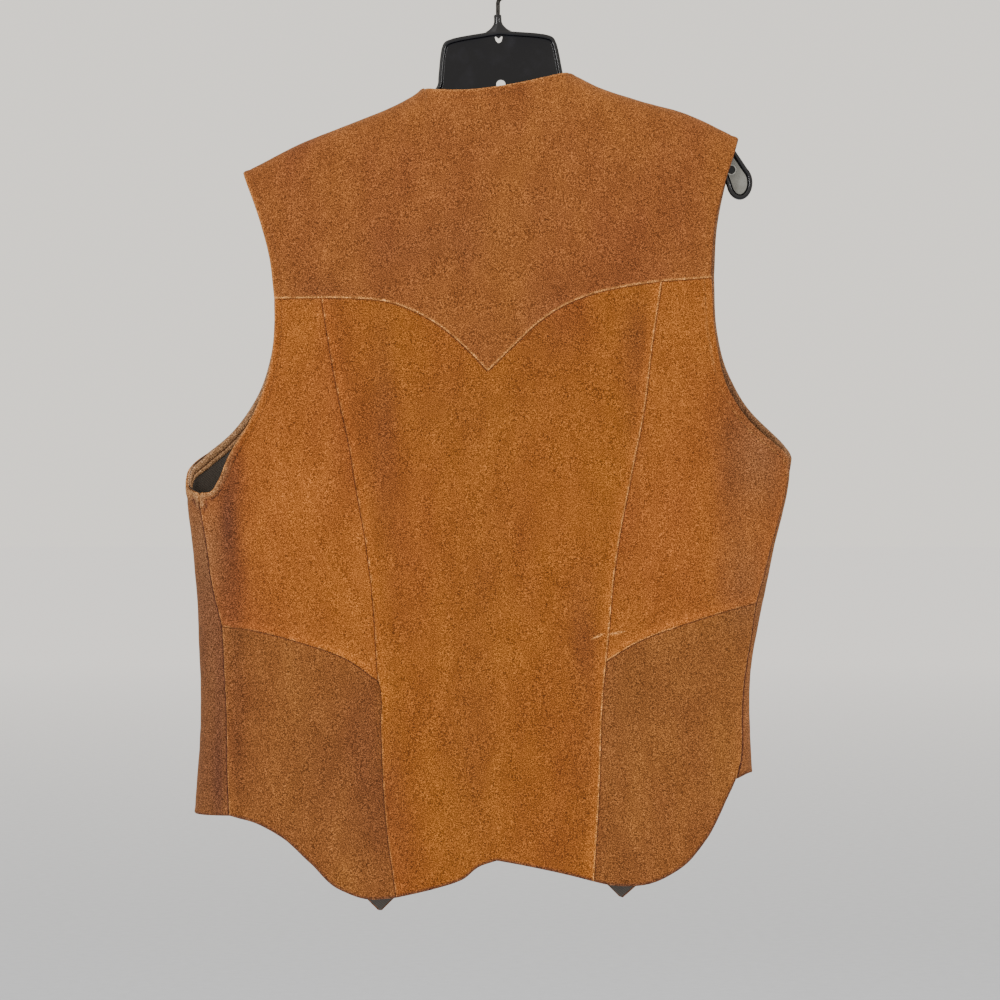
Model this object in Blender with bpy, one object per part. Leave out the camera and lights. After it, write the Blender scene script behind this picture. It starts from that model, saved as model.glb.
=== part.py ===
# Suede western vest hanging on a moulded hanger, with its back towards -Y.
#
# The cloth is one surface that folds at both sides. A panel is the patch of it between shared seam
# lines, made a wall and parted from its neighbours by a narrow gap.
# The tables are in millimetres: x runs to the right as seen from behind, and a drop runs down from the
# inside of the hook. "across" counts half turns round the body: 0 is the middle of the back, -1 and 1
# are the side folds, -2 and 2 are the middle of the front.

from collections import namedtuple
import math

import bmesh
import bpy
import numpy as np

MM = 0.001

# Walls and gaps
suede_wall = 1.8
lining_wall = 1.0
layer_gap = 0.5
seam_gap = 0.3
lining_margin = 1.5

# Shape of the hanging body
shoulder_radius = 11.0
side_power = 4.0
overlap_lift = 4.6
overlap_start, overlap_full = -78.0, -42.0
centre_overlap = 12.0
neck_opening_drop = 430.0
neck_arch = 20.0
neck_arch_power = 6
half_turn_width = 150.0

# How finely each stretch is divided
lower_rows, waist_rows, armhole_rows, yoke_rows = 5, 4, 8, 6
side_columns, half_centre_columns = 6, 7
shoulder_columns, neck_columns = 9, 8
front_point_columns, front_centre_columns = 9, 3

# Snaps down the middle of the front
snap_radius = 6.2
snap_height = 2.8
snap_drops = (455.0, 545.0, 635.0, 725.0)

# Hanger: a rimmed plate hung from a wire hook
hanger_tilt = math.radians(-2.7)
collar_x, collar_drop = 0.8, 68.7
rim_half, web_half, rim_width = 3.5, 1.4, 4.0
collar_half_width, collar_height, collar_half = 3.1, 7.0, 3.2
flare_radius, flare_half_width, flare_foot = 8.4, 11.5, -9.4
wire_radius = 1.8
hook_inner_radius = 22.5
bore_radius, bore_depth = 2.3, 5.5

Spot = namedtuple("Spot", "x drop")
Turn = namedtuple("Turn", "x drop side")
Level = namedtuple("Level", "drop left right")
Depth = namedtuple("Depth", "drop half")
Fold = namedtuple("Fold", "x0 drop0 x1 drop1 width depth")
back, front = -1, 1

# Side folds of the body. Above the armholes they only shape the curve of the panels
side_folds = [
    Level(140, -243, 230),
    Level(200, -247, 236),
    Level(330, -255, 246),
    Level(420, -263, 253.5),
    Level(463, -267, 250.5),
    Level(521, -261, 237.5),
    Level(577, -256.8, 226.2),
    Level(625, -255, 217.8),
    Level(654, -254.3, 216.7),
    Level(688, -255.5, 217.6),
    Level(718, -257.6, 219),
    Level(850, -264, 224),
]

# Half the distance from back to front, well below the shoulders
body_depths = [
    Depth(100, 25),
    Depth(200, 26),
    Depth(330, 29),
    Depth(470, 33),
    Depth(640, 31),
    Depth(850, 34),
]

# Shoulder seams. The neck lies under an arch between their inner ends
shoulder_line = [
    Spot(-275, 225),
    Spot(-218, 197.3),
    Spot(-170, 173),
    Spot(-125.8, 155.2),
    Spot(-83, 137.4),
    Spot(-62, 125.4),
    Spot(61.5, 111.6),
    Spot(85, 122.9),
    Spot(123.6, 135.7),
    Spot(161.7, 146.5),
    Spot(207.4, 167.8),
    Spot(265, 196),
]
left_tip, left_neck, right_neck, right_tip = -218.0, -62.0, 61.5, 207.4

# Largest folds and hollows of the cloth, on the back and on the front
cloth_folds = [
    Fold(-213, 425, -222, 560, 15, 0.22),
    Fold(-214, 600, -215, 745, 10, 0.20),
    Fold(206, 430, 214, 520, 16, 0.20),
    Fold(-20, 430, -12, 760, 22, 0.07),
    Fold(-98, 640, -84, 790, 13, 0.08),
    Fold(60, 560, 76, 760, 16, 0.06),
]
front_folds = [
    Fold(-205, 430, -212, 560, 16, 0.20),
    Fold(196, 415, 202, 540, 16, 0.20),
    Fold(-96, 600, -100, 800, 20, 0.08),
    Fold(98, 590, 104, 790, 20, 0.08),
]

# Seams of the back
yoke_left = [Spot(-190, 306), Spot(-149, 305.7)]
yoke_left_curve = [
    Spot(-149, 305.7),
    Spot(-124.5, 306),
    Spot(-95.2, 308.5),
    Spot(-71.6, 316.6),
    Spot(-50.2, 328.6),
    Spot(-28.2, 346.8),
    Spot(-7.7, 368),
]
yoke_right_curve = [
    Spot(-7.7, 368),
    Spot(15.1, 345.7),
    Spot(36.8, 325.6),
    Spot(58.5, 311.5),
    Spot(87.6, 300.6),
    Spot(115, 295),
    Spot(139.8, 291.4),
]
yoke_right = [Spot(139.8, 291.4), Spot(182.8, 288)]
neck_edge = [
    Spot(-62, 125.4),
    Spot(-51, 127.3),
    Spot(-30, 128.2),
    Spot(2.6, 125),
    Spot(41.7, 116.9),
    Spot(61.5, 111.6),
]
princess_left_low = [
    Spot(-85, 813.2),
    Spot(-93.5, 753.7),
    Spot(-98, 671.2),
    Spot(-99.7, 633.8),
    Spot(-100.3, 632.1),
]
princess_left_high = [
    Spot(-100.3, 632.1),
    Spot(-107.1, 542.9),
    Spot(-122, 450),
    Spot(-134.3, 389.9),
    Spot(-149, 305.7),
]
princess_right_low = [
    Spot(81.6, 802.2),
    Spot(86.3, 726.5),
    Spot(88.1, 671.2),
    Spot(92.5, 614.9),
]
princess_right_high = [
    Spot(92.5, 614.9),
    Spot(100.3, 531.8),
    Spot(113.1, 460.4),
    Spot(128.4, 373.7),
    Spot(139.8, 291.4),
]
waist_seam_left = [
    Spot(-234.2, 585.6),
    Spot(-208, 588.8),
    Spot(-167, 599),
    Spot(-130.4, 611.7),
    Spot(-100.3, 632.1),
]
waist_seam_right = [
    Spot(92.5, 614.9),
    Spot(118.8, 599),
    Spot(161.5, 582.8),
    Spot(195, 572.6),
    Spot(221.5, 565.5),
]
side_seam_left_low = [
    Spot(-227.8, 747.6),
    Spot(-229.8, 690),
    Spot(-231.2, 640.8),
    Spot(-234.2, 585.6),
]
side_seam_left_high = [
    Spot(-234.2, 585.6),
    Spot(-242, 555.2),
    Spot(-248.3, 512.3),
    Spot(-255, 472.3),
]
side_seam_right_low = [
    Spot(203, 718.3),
    Spot(208, 700),
    Spot(209.6, 653.4),
    Spot(214.4, 612.3),
    Spot(221.5, 565.5),
]
side_seam_right_high = [
    Spot(221.5, 565.5),
    Spot(226.9, 546.7),
    Spot(237.7, 506.5),
    Spot(245.2, 478),
    Spot(251, 442.3),
]

# Armhole edges of the back
armhole_left_low = [
    Spot(-255, 472.3),
    Spot(-244, 470.6),
    Spot(-238.3, 462),
    Spot(-229.5, 441.7),
    Spot(-207, 403.5),
    Spot(-195.6, 373.7),
    Spot(-190, 335),
    Spot(-190, 306),
]
armhole_left_high = [
    Spot(-190, 306),
    Spot(-195, 268),
    Spot(-206, 230),
    Spot(-218, 197.3),
]
armhole_right_low = [
    Spot(251, 442.3),
    Spot(242.3, 433.8),
    Spot(217.8, 413.4),
    Spot(199, 387),
    Spot(187, 343),
    Spot(182.8, 288),
]
armhole_right_high = [
    Spot(182.8, 288),
    Spot(186, 245),
    Spot(195, 207),
    Spot(207.4, 167.8),
]

# Hem of the back
hem_left = [
    Spot(-227.8, 747.6),
    Spot(-205, 753.8),
    Spot(-186.5, 763.2),
    Spot(-159, 786.8),
    Spot(-131.2, 810),
    Spot(-108, 816),
    Spot(-85, 813.2),
]
hem_centre_left = [
    Spot(-85, 813.2),
    Spot(-57, 809.3),
    Spot(-30.6, 801.3),
    Spot(-13.1, 788.9),
    Spot(0, 784.6),
]
hem_centre_right = [
    Spot(0, 784.6),
    Spot(21.3, 788.5),
    Spot(61.2, 797),
    Spot(81.6, 802.2),
]
hem_right = [
    Spot(81.6, 802.2),
    Spot(96.1, 805.5),
    Spot(122.4, 806),
    Spot(153.5, 793.6),
    Spot(177.7, 768.6),
    Spot(193.8, 735.5),
    Spot(203, 718.3),
]

# Edges of the fronts. Each starts on the back, at the side seam
front_armhole_left_low = [
    Turn(-255, 472.3, back),
    Turn(-266.2, 469.5, back),
    Turn(-267, 459, front),
    Turn(-253.5, 441, front),
    Turn(-232.9, 423.7, front),
    Turn(-208.6, 390.9, front),
    Turn(-196, 355, front),
    Turn(-192, 306, front),
]
front_armhole_left_high = [
    Turn(-192, 306, front),
    Turn(-197, 262, front),
    Turn(-207, 227, front),
    Turn(-218, 197.3, front),
]
front_armhole_right_low = [
    Turn(251, 442.3, back),
    Turn(253, 440.5, front),
    Turn(238.8, 427.1, front),
    Turn(216.3, 404.7, front),
    Turn(198.5, 371.8, front),
    Turn(190.3, 332, front),
    Turn(187.8, 285, front),
]
front_armhole_right_high = [
    Turn(187.8, 285, front),
    Turn(190.5, 240, front),
    Turn(198, 203, front),
    Turn(207.4, 167.8, front),
]
front_hem_left = [
    Turn(-227.8, 747.6, back),
    Turn(-250, 747.6, back),
    Turn(-259, 746.6, front),
    Turn(-231, 750, front),
    Turn(-187, 766, front),
    Turn(-135, 802, front),
    Turn(-101.5, 833.3, front),
]
front_hem_right = [
    Turn(203, 718.3, back),
    Turn(215, 711.5, back),
    Turn(218.5, 710.5, front),
    Turn(198, 730, front),
    Turn(148, 786, front),
    Turn(107.9, 822, front),
]
front_hem_left_centre = [
    Turn(-101.5, 833.3, front),
    Turn(-84, 817.5, front),
    Turn(-52, 793, front),
    Turn(centre_overlap, 773, front),
]
front_hem_right_centre = [
    Turn(107.9, 822, front),
    Turn(91, 806.5, front),
    Turn(56, 784, front),
    Turn(-centre_overlap, 770, front),
]
front_edge_left = [
    Turn(centre_overlap, 773, front),
    Turn(centre_overlap, 600, front),
    Turn(centre_overlap, neck_opening_drop, front),
]
front_edge_right = [
    Turn(-centre_overlap, 770, front),
    Turn(-centre_overlap, 600, front),
    Turn(-centre_overlap, neck_opening_drop, front),
]
neck_left_low = [
    Turn(centre_overlap, neck_opening_drop, front),
    Turn(-8, 355, front),
    Turn(-38, 255, front),
]
neck_left_high = [
    Turn(-38, 255, front),
    Turn(-55, 180, front),
    Turn(-62, 125.4, front),
]
neck_right_low = [
    Turn(-centre_overlap, neck_opening_drop, front),
    Turn(10, 355, front),
    Turn(42, 250, front),
]
neck_right_high = [
    Turn(42, 250, front),
    Turn(57, 175, front),
    Turn(61.5, 111.6, front),
]

# Right half of the hanger plate, from its middle down. x and drop are from the collar's foot
hanger_top = [
    Spot(0, 6.6),
    Spot(11.5, 7.9),
    Spot(43.9, 13),
    Spot(48.2, 16.8),
    Spot(53.2, 43),
    Spot(54.4, 51),
    Spot(59.5, 57.5),
    Spot(67, 64),
    Spot(87, 72.2),
    Spot(130.3, 87.4),
    Spot(175.7, 103),
    Spot(196, 115.5),
]
hanger_end = Spot(200.6, 146.5)
hanger_end_width, hanger_end_height = 11.2, 15.0
hanger_end_from, hanger_end_to, hanger_end_steps = 50, -170, 10
hanger_bottom = [
    Spot(186, 138),
    Spot(174, 127),
    Spot(130.3, 111),
    Spot(86.9, 96),
    Spot(40, 85),
    Spot(0, 81),
]
hanger_holes = [Depth(13.3, 3.0), Depth(53, 4.0)]

# Colours as sRGB values
yoke_brown = (153, 91, 40)
centre_brown = (158, 93, 35)
side_brown = (167, 100, 43)
lower_brown = (148, 90, 42)
front_brown = (146, 87, 44)
lining_dark = (52, 45, 39)
plastic_black = (24, 24, 26)
steel_grey = (120, 120, 122)
snap_brass = (150, 126, 84)
suede_roughness, lining_roughness = 0.95, 0.6


def clear_scene():
    for thing in list(bpy.data.objects):
        bpy.data.objects.remove(thing, do_unlink=True)


def ease(at, knots, values):
    """Smooth curve through the values at the knots, read at one or many places."""
    knots, values = np.asarray(knots, float), np.asarray(values, float)
    slopes = np.gradient(values, knots)
    span = np.clip(np.searchsorted(knots, at) - 1, 0, len(knots) - 2)
    width = knots[span + 1] - knots[span]
    t = (at - knots[span]) / width
    rise = (2 * t**3 - 3 * t**2 + 1) * values[span] + (3 * t**2 - 2 * t**3) * values[span + 1]
    bend = (t**3 - 2 * t**2 + t) * slopes[span] + (t**3 - t**2) * slopes[span + 1]
    return rise + bend * width


def body_middle(drop):
    left = ease(drop, [row.drop for row in side_folds], [row.left for row in side_folds])
    right = ease(drop, [row.drop for row in side_folds], [row.right for row in side_folds])
    return (left + right) / 2, (right - left) / 2


def ridge(x):
    """Drop of the line that back and front meet at: the shoulder seams, and an arch over the neck."""
    line = ease(x, [spot.x for spot in shoulder_line], [spot.drop for spot in shoulder_line])
    reach = (x - (left_neck + right_neck) / 2) / ((right_neck - left_neck) / 2)
    return line - neck_arch * np.maximum(1 - np.abs(reach) ** neck_arch_power, 0)


def hollows(x, drop, folds):
    """How much the folds press the cloth in, as a share of the depth there."""
    pressed = np.zeros(np.broadcast(x, drop).shape)
    for fold in folds:
        run = np.array([fold.x1 - fold.x0, fold.drop1 - fold.drop0])
        along = ((x - fold.x0) * run[0] + (drop - fold.drop0) * run[1]) / (run @ run)
        along = np.clip(along, 0, 1)
        away = np.hypot(x - fold.x0 - along * run[0], drop - fold.drop0 - along * run[1])
        pressed = pressed + fold.depth * np.exp(-((away / fold.width) ** 2))
    return pressed


def depth_squared(x, drop, side):
    """Square of the distance from the middle plane. It rises from the shoulder line as a round."""
    middle, half = body_middle(drop)
    full = ease(drop, [row.drop for row in body_depths], [row.half for row in body_depths]) ** 2
    rise = full * (1 - np.exp(-2 * shoulder_radius * (drop - ridge(x)) / full))
    round_side = 1 - np.abs((x - middle) / half) ** side_power
    pressed = np.where(side == back, hollows(x, drop, cloth_folds), hollows(x, drop, front_folds))
    return rise * round_side * (1 - pressed) ** 2


def across_of(x, drop, side, is_left=True):
    """The place round the body of a spot on the back, or on the left or right front."""
    middle, half = body_middle(drop)
    turn = 2 / math.pi * np.arcsin(np.clip((x - middle) / half, -1, 1))
    if side == back:
        return turn
    return (-2 if is_left else 2) - turn


def surface(across, drop):
    """Points of the cloth's outer face in millimetres, and the directions that point out of it."""
    middle, half = body_middle(drop)
    x = middle + half * np.sin(math.pi / 2 * across)
    side = np.where(np.abs(across) <= 1, back, front)
    y = side * np.sqrt(np.maximum(depth_squared(x, drop, side), 0))
    step = 0.05
    slope_x = depth_squared(x + step, drop, side) - depth_squared(x - step, drop, side)
    slope_drop = depth_squared(x, drop + step, side) - depth_squared(x, drop - step, side)
    out = np.stack([-slope_x / (2 * step), 2 * y, slope_drop / (2 * step)], axis=-1)
    out /= np.linalg.norm(out, axis=-1, keepdims=True)
    return np.stack([x, y, -drop], axis=-1), out


def even(share):
    return share


def near_start(share):
    return share**1.7


def near_end(share):
    return 1 - (1 - share) ** 2


def near_both_ends(share):
    return (1 - np.cos(math.pi * share)) / 2


def run_of(rows, count, spacing=even, is_left=True):
    """Places along the smooth line through the rows, spaced by its length."""
    places = []
    for row in rows:
        side = getattr(row, "side", back)
        places.append((across_of(row.x, row.drop, side, is_left), row.drop))
    places = np.array(places)
    flat = places * (half_turn_width, 1)
    reach = np.concatenate([[0], np.cumsum(np.linalg.norm(np.diff(flat, axis=0), axis=1))])
    fine = np.linspace(0, reach[-1], 40 * len(rows))
    dense = np.stack([ease(fine, reach, flat[:, 0]), ease(fine, reach, flat[:, 1])], axis=1)
    length = np.concatenate([[0], np.cumsum(np.linalg.norm(np.diff(dense, axis=0), axis=1))])
    at = spacing(np.linspace(0, 1, count + 1)) * length[-1]
    drops = np.interp(at, length, dense[:, 1])
    return np.stack([np.interp(at, length, dense[:, 0]) / half_turn_width, drops], axis=1)


def join(*runs):
    """Runs end to end, their shared ends once."""
    return np.concatenate([runs[0]] + [run[1:] for run in runs[1:]])


def shoulder_run(x_from, x_to, count, side, is_left):
    x = np.linspace(x_from, x_to, count + 1)
    drop = ridge(x)
    return np.stack([across_of(x, drop, side, is_left), drop], axis=1)


def patch(bottom, top, left, right):
    """Places inside four border runs, a row for each step up."""
    u = np.linspace(0, 1, len(bottom))[None, :, None]
    v = np.linspace(0, 1, len(left))[:, None, None]
    sides = (1 - u) * left[:, None] + u * right[:, None]
    ends = (1 - v) * bottom[None] + v * top[None]
    corners = (1 - v) * ((1 - u) * bottom[0] + u * bottom[-1]) + v * ((1 - u) * top[0] + u * top[-1])
    return sides + ends - corners


def back_places():
    """One grid for the whole back, with every seam on a grid line."""
    side, centre = side_columns, 2 * half_centre_columns
    lower, upper = lower_rows, waist_rows + armhole_rows
    columns, rows = 2 * side + centre, lower + upper + yoke_rows
    grid = np.zeros((rows + 1, columns + 1, 2))
    hems = [
        run_of(hem_left, side),
        join(run_of(hem_centre_left, half_centre_columns), run_of(hem_centre_right, half_centre_columns)),
        run_of(hem_right, side),
    ]
    yoke = [
        run_of(yoke_left, side),
        join(run_of(yoke_left_curve, half_centre_columns), run_of(yoke_right_curve, half_centre_columns)),
        run_of(yoke_right, side),
    ]
    waists = [run_of(waist_seam_left, side), run_of(waist_seam_right, side)]
    princess_left = [run_of(princess_left_low, lower), run_of(princess_left_high, upper)]
    princess_right = [run_of(princess_right_low, lower), run_of(princess_right_high, upper)]
    outer_left = join(
        run_of(side_seam_left_high, waist_rows), run_of(armhole_left_low, armhole_rows, near_start)
    )
    outer_right = join(
        run_of(side_seam_right_high, waist_rows), run_of(armhole_right_low, armhole_rows, near_start)
    )
    grid[: lower + 1, : side + 1] = patch(
        hems[0], waists[0], run_of(side_seam_left_low, lower), princess_left[0]
    )
    grid[lower : lower + upper + 1, : side + 1] = patch(waists[0], yoke[0], outer_left, princess_left[1])
    grid[: lower + upper + 1, side : side + centre + 1] = patch(
        hems[1], yoke[1], join(*princess_left), join(*princess_right)
    )
    grid[: lower + 1, side + centre :] = patch(
        hems[2], waists[1], princess_right[0], run_of(side_seam_right_low, lower)
    )
    grid[lower : lower + upper + 1, side + centre :] = patch(
        waists[1], yoke[2], princess_right[1], outer_right
    )
    top = join(
        shoulder_run(left_tip, left_neck, shoulder_columns, back, True),
        run_of(neck_edge, neck_columns, near_both_ends),
        shoulder_run(right_neck, right_tip, shoulder_columns, back, False),
    )
    grid[lower + upper :] = patch(
        join(*yoke),
        top,
        run_of(armhole_left_high, yoke_rows, near_end),
        run_of(armhole_right_high, yoke_rows, near_end),
    )
    return grid


def front_places(is_left):
    """Grid of one front, from its side seam to its centre edge."""
    if is_left:
        seams = side_seam_left_low, side_seam_left_high
        armholes = front_armhole_left_low, front_armhole_left_high
        hems = front_hem_left, front_hem_left_centre
        edge, necks = front_edge_left, (neck_left_low, neck_left_high)
        shoulder = left_tip, left_neck
    else:
        seams = side_seam_right_low, side_seam_right_high
        armholes = front_armhole_right_low, front_armhole_right_high
        hems = front_hem_right, front_hem_right_centre
        edge, necks = front_edge_right, (neck_right_low, neck_right_high)
        shoulder = right_tip, right_neck
    columns = front_point_columns + front_centre_columns
    outer = join(
        run_of(seams[0], lower_rows),
        run_of(seams[1], waist_rows),
        run_of(armholes[0], armhole_rows, near_start, is_left),
        run_of(armholes[1], yoke_rows, near_end, is_left),
    )
    inner = join(
        run_of(edge, lower_rows + waist_rows, even, is_left),
        run_of(necks[0], armhole_rows, even, is_left),
        run_of(necks[1], yoke_rows, near_end, is_left),
    )
    bottom = join(
        run_of(hems[0], front_point_columns, even, is_left),
        run_of(hems[1], front_centre_columns, even, is_left),
    )
    top = shoulder_run(*shoulder, columns, front, is_left)
    return patch(bottom, top, outer, inner)


def lift_overlap(points, out):
    """The left front lies over the right one, so its centre edge stands further out."""
    share = np.clip((points[..., 0] - overlap_start) / (overlap_full - overlap_start), 0, 1)
    lift = overlap_lift * share**2 * (3 - 2 * share)
    return points + lift[..., None] * out


def pulled_in(values, distances, margins):
    """Border lines moved towards the next line by the margins: bottom, top, first and last column."""
    moved = values.copy()
    for margin, line, inner in zip(margins, ((0,), (-1,), (slice(None), 0), (slice(None), -1)),
                                   ((1,), (-2,), (slice(None), 1), (slice(None), -2))):
        gap = np.linalg.norm(distances[inner] - distances[line], axis=-1, keepdims=True)
        moved[line] = moved[line] + (moved[inner] - moved[line]) * margin / gap
    return moved


def set_material(thing, name, colour, roughness, metallic=0.0):
    material = bpy.data.materials.get(name) or bpy.data.materials.new(name)
    material.use_nodes = True
    shader = material.node_tree.nodes["Principled BSDF"]
    linear = [((c / 255 + 0.055) / 1.055) ** 2.4 if c > 10 else c / 255 / 12.92 for c in colour]
    shader.inputs["Base Color"].default_value = (*linear, 1)
    shader.inputs["Roughness"].default_value = roughness
    shader.inputs["Metallic"].default_value = metallic
    material.diffuse_color = (*linear, 1)
    thing.data.materials.append(material)


def solid(name, points, faces, sharp=0.9):
    """A closed body from points in millimetres."""
    mesh = bpy.data.meshes.new(name)
    mesh.from_pydata([tuple(point) for point in np.asarray(points) * MM], [], faces)
    shape = bmesh.new()
    shape.from_mesh(mesh)
    bmesh.ops.triangulate(shape, faces=shape.faces, quad_method="FIXED")
    bmesh.ops.recalc_face_normals(shape, faces=shape.faces)
    shape.to_mesh(mesh)
    shape.free()
    mesh.shade_smooth()
    mesh.set_sharp_from_angle(angle=sharp)
    thing = bpy.data.objects.new(name, mesh)
    bpy.context.scene.collection.objects.link(thing)
    return thing


def wall(name, points, out, outer, inner, margins):
    """A sheet between two depths below the cloth's outer face."""
    out = pulled_in(out, points, margins)
    out /= np.linalg.norm(out, axis=-1, keepdims=True)
    points = pulled_in(points, points, margins)
    rows, columns = points.shape[0] - 1, points.shape[1] - 1
    layers = np.concatenate([(points - outer * out).reshape(-1, 3), (points - inner * out).reshape(-1, 3)])
    low = (rows + 1) * (columns + 1)

    def index(row, column):
        return row * (columns + 1) + column

    faces = []
    for row in range(rows):
        for column in range(columns):
            quad = [index(row, column), index(row, column + 1)]
            quad += [index(row + 1, column + 1), index(row + 1, column)]
            faces.append(quad)
            faces.append([quad[0] + low, quad[3] + low, quad[2] + low, quad[1] + low])
    rim = [index(0, column) for column in range(columns)]
    rim += [index(row, columns) for row in range(rows)]
    rim += [index(rows, column) for column in range(columns, 0, -1)]
    rim += [index(row, 0) for row in range(rows, 0, -1)]
    for here, following in zip(rim, rim[1:] + rim[:1]):
        faces.append([following, here, here + low, following + low])
    return solid(name, layers, faces)


def make_back():
    places = back_places()
    points, out = surface(places[..., 0], places[..., 1])
    seam, free = seam_gap / 2, 0.0
    waist, yoke, rows = lower_rows, lower_rows + waist_rows + armhole_rows, places.shape[0] - 1
    left, right, columns = side_columns, side_columns + 2 * half_centre_columns, places.shape[1] - 1
    at_yoke = (seam, seam, free, free)
    sewn_round = (seam, seam, seam, seam)
    at_hem = (free, seam, seam, seam)
    Panel = namedtuple("Panel", "name first last start end margins slot colour")
    panels = [
        Panel("yoke_back", yoke, rows, 0, columns, at_yoke, "yoke_suede", yoke_brown),
        Panel("back_centre", 0, yoke, left, right, at_hem, "centre_suede", centre_brown),
        Panel("back_side_upper_left", waist, yoke, 0, left, sewn_round, "side_suede", side_brown),
        Panel("back_side_upper_right", waist, yoke, right, columns, sewn_round, "side_suede", side_brown),
        Panel("back_side_lower_left", 0, waist, 0, left, at_hem, "lower_suede", lower_brown),
        Panel("back_side_lower_right", 0, waist, right, columns, at_hem, "lower_suede", lower_brown),
    ]
    for panel in panels:
        cut = slice(panel.first, panel.last + 1), slice(panel.start, panel.end + 1)
        thing = wall(panel.name, points[cut], out[cut], 0, suede_wall, panel.margins)
        set_material(thing, panel.slot, panel.colour, suede_roughness)
    under = suede_wall + layer_gap
    lining = wall("lining_back", points, out, under, under + lining_wall,
                  (lining_margin, seam, seam, seam))
    set_material(lining, "lining_cloth", lining_dark, lining_roughness)


def make_front(is_left):
    side = "left" if is_left else "right"
    places = front_places(is_left)
    points, out = surface(places[..., 0], places[..., 1])
    if is_left:
        points = lift_overlap(points, out)
    seam = seam_gap / 2
    thing = wall("front_" + side, points, out, 0, suede_wall, (0.0, seam, seam, 0.0))
    set_material(thing, "front_suede", front_brown, suede_roughness)
    under = suede_wall + layer_gap
    lining = wall("lining_front_" + side, points, out, under, under + lining_wall,
                  (lining_margin, seam, seam, lining_margin))
    set_material(lining, "lining_cloth", lining_dark, lining_roughness)


def make_snaps():
    """Domed caps on the overlap, seated on the left front."""
    for number, drop in enumerate(snap_drops, 1):
        across = across_of(0.0, drop, front)
        point, out = surface(np.array(across), np.array(drop))
        point = lift_overlap(point, out) + seam_gap * out
        sideways = np.cross(out, (0, 0, 1))
        sideways /= np.linalg.norm(sideways)
        upright = np.cross(sideways, out)
        rings = [(1.0, 0.0), (1.0, 0.35), (0.82, 0.75), (0.45, 1.0)]
        sides = 16
        points, faces = [], []
        for radius, height in rings:
            for angle in np.arange(sides) * 2 * math.pi / sides:
                reach = math.cos(angle) * sideways + math.sin(angle) * upright
                points.append(point + snap_radius * radius * reach + snap_height * height * out)
        for ring in range(len(rings) - 1):
            for step in range(sides):
                following = (step + 1) % sides
                low, high = ring * sides, (ring + 1) * sides
                faces.append([low + step, low + following, high + following, high + step])
        faces.append(list(range(sides))[::-1])
        faces.append(list(range((len(rings) - 1) * sides, len(rings) * sides)))
        cap = solid(f"snap_{number}", points, faces)
        set_material(cap, "snap_metal", snap_brass, 0.4, 1.0)


def hanger_outline():
    """Whole outline of the plate, both halves, as x and height from the collar's foot."""
    half = [(spot.x, -spot.drop) for spot in hanger_top]
    for angle in np.radians(np.linspace(hanger_end_from, hanger_end_to, hanger_end_steps)):
        x = hanger_end.x + hanger_end_width * math.cos(angle)
        half.append((x, -hanger_end.drop + hanger_end_height * math.sin(angle)))
    half += [(spot.x, -spot.drop) for spot in hanger_bottom]
    mirrored = [(-x, z) for x, z in half[-2:0:-1]]
    return np.array(half + mirrored)


def moved_in(outline, distance):
    """The outline moved in by a distance, for one that runs clockwise."""
    before = outline - np.roll(outline, 1, axis=0)
    after = np.roll(outline, -1, axis=0) - outline
    before /= np.linalg.norm(before, axis=1, keepdims=True)
    after /= np.linalg.norm(after, axis=1, keepdims=True)
    first = np.stack([before[:, 1], -before[:, 0]], axis=1)
    second = np.stack([after[:, 1], -after[:, 0]], axis=1)
    both = first + second
    return outline + distance * both / (1 + (first * second).sum(axis=1, keepdims=True))


def prism(name, outline, half):
    """A plate of even thickness from an outline of x and height."""
    count = len(outline)
    points = [(x, y, z) for y in (-half, half) for x, z in outline]
    faces = [list(range(count)), list(range(2 * count - 1, count - 1, -1))]
    for here in range(count):
        following = (here + 1) % count
        faces.append([following, here, here + count, following + count])
    return solid(name, points, faces)


def rimmed_plate(name, outline):
    """A plate with a raised rim on both faces."""
    count = len(outline)
    inner = moved_in(outline, rim_width)
    points, faces = [], []
    for loop, half in ((outline, rim_half), (inner, rim_half), (inner, web_half)):
        for side in (-1, 1):
            points += [(x, side * half, z) for x, z in loop]
    for here in range(count):
        following = (here + 1) % count
        faces.append([here, following, following + count, here + count])
        for side in (0, count):
            outer, lip, web = side, side + 2 * count, side + 4 * count
            faces.append([here + outer, here + lip, following + lip, following + outer])
            faces.append([here + lip, here + web, following + web, following + lip])
    faces.append([4 * count + here for here in range(count)])
    faces.append([5 * count + here for here in range(count)][::-1])
    return solid(name, points, faces)


def cutter(name, radius, depth, centre, upright=False):
    """A round cutter through the plate, or one that bores down from the collar's top."""
    bpy.ops.mesh.primitive_cylinder_add(vertices=20, radius=radius * MM, depth=depth * MM)
    tool = bpy.context.object
    tool.name = name
    tool.location = [value * MM for value in centre]
    if not upright:
        tool.rotation_euler = (math.pi / 2, 0, 0)
    tool.hide_render = True
    tool.display_type = "WIRE"
    return tool


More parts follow.
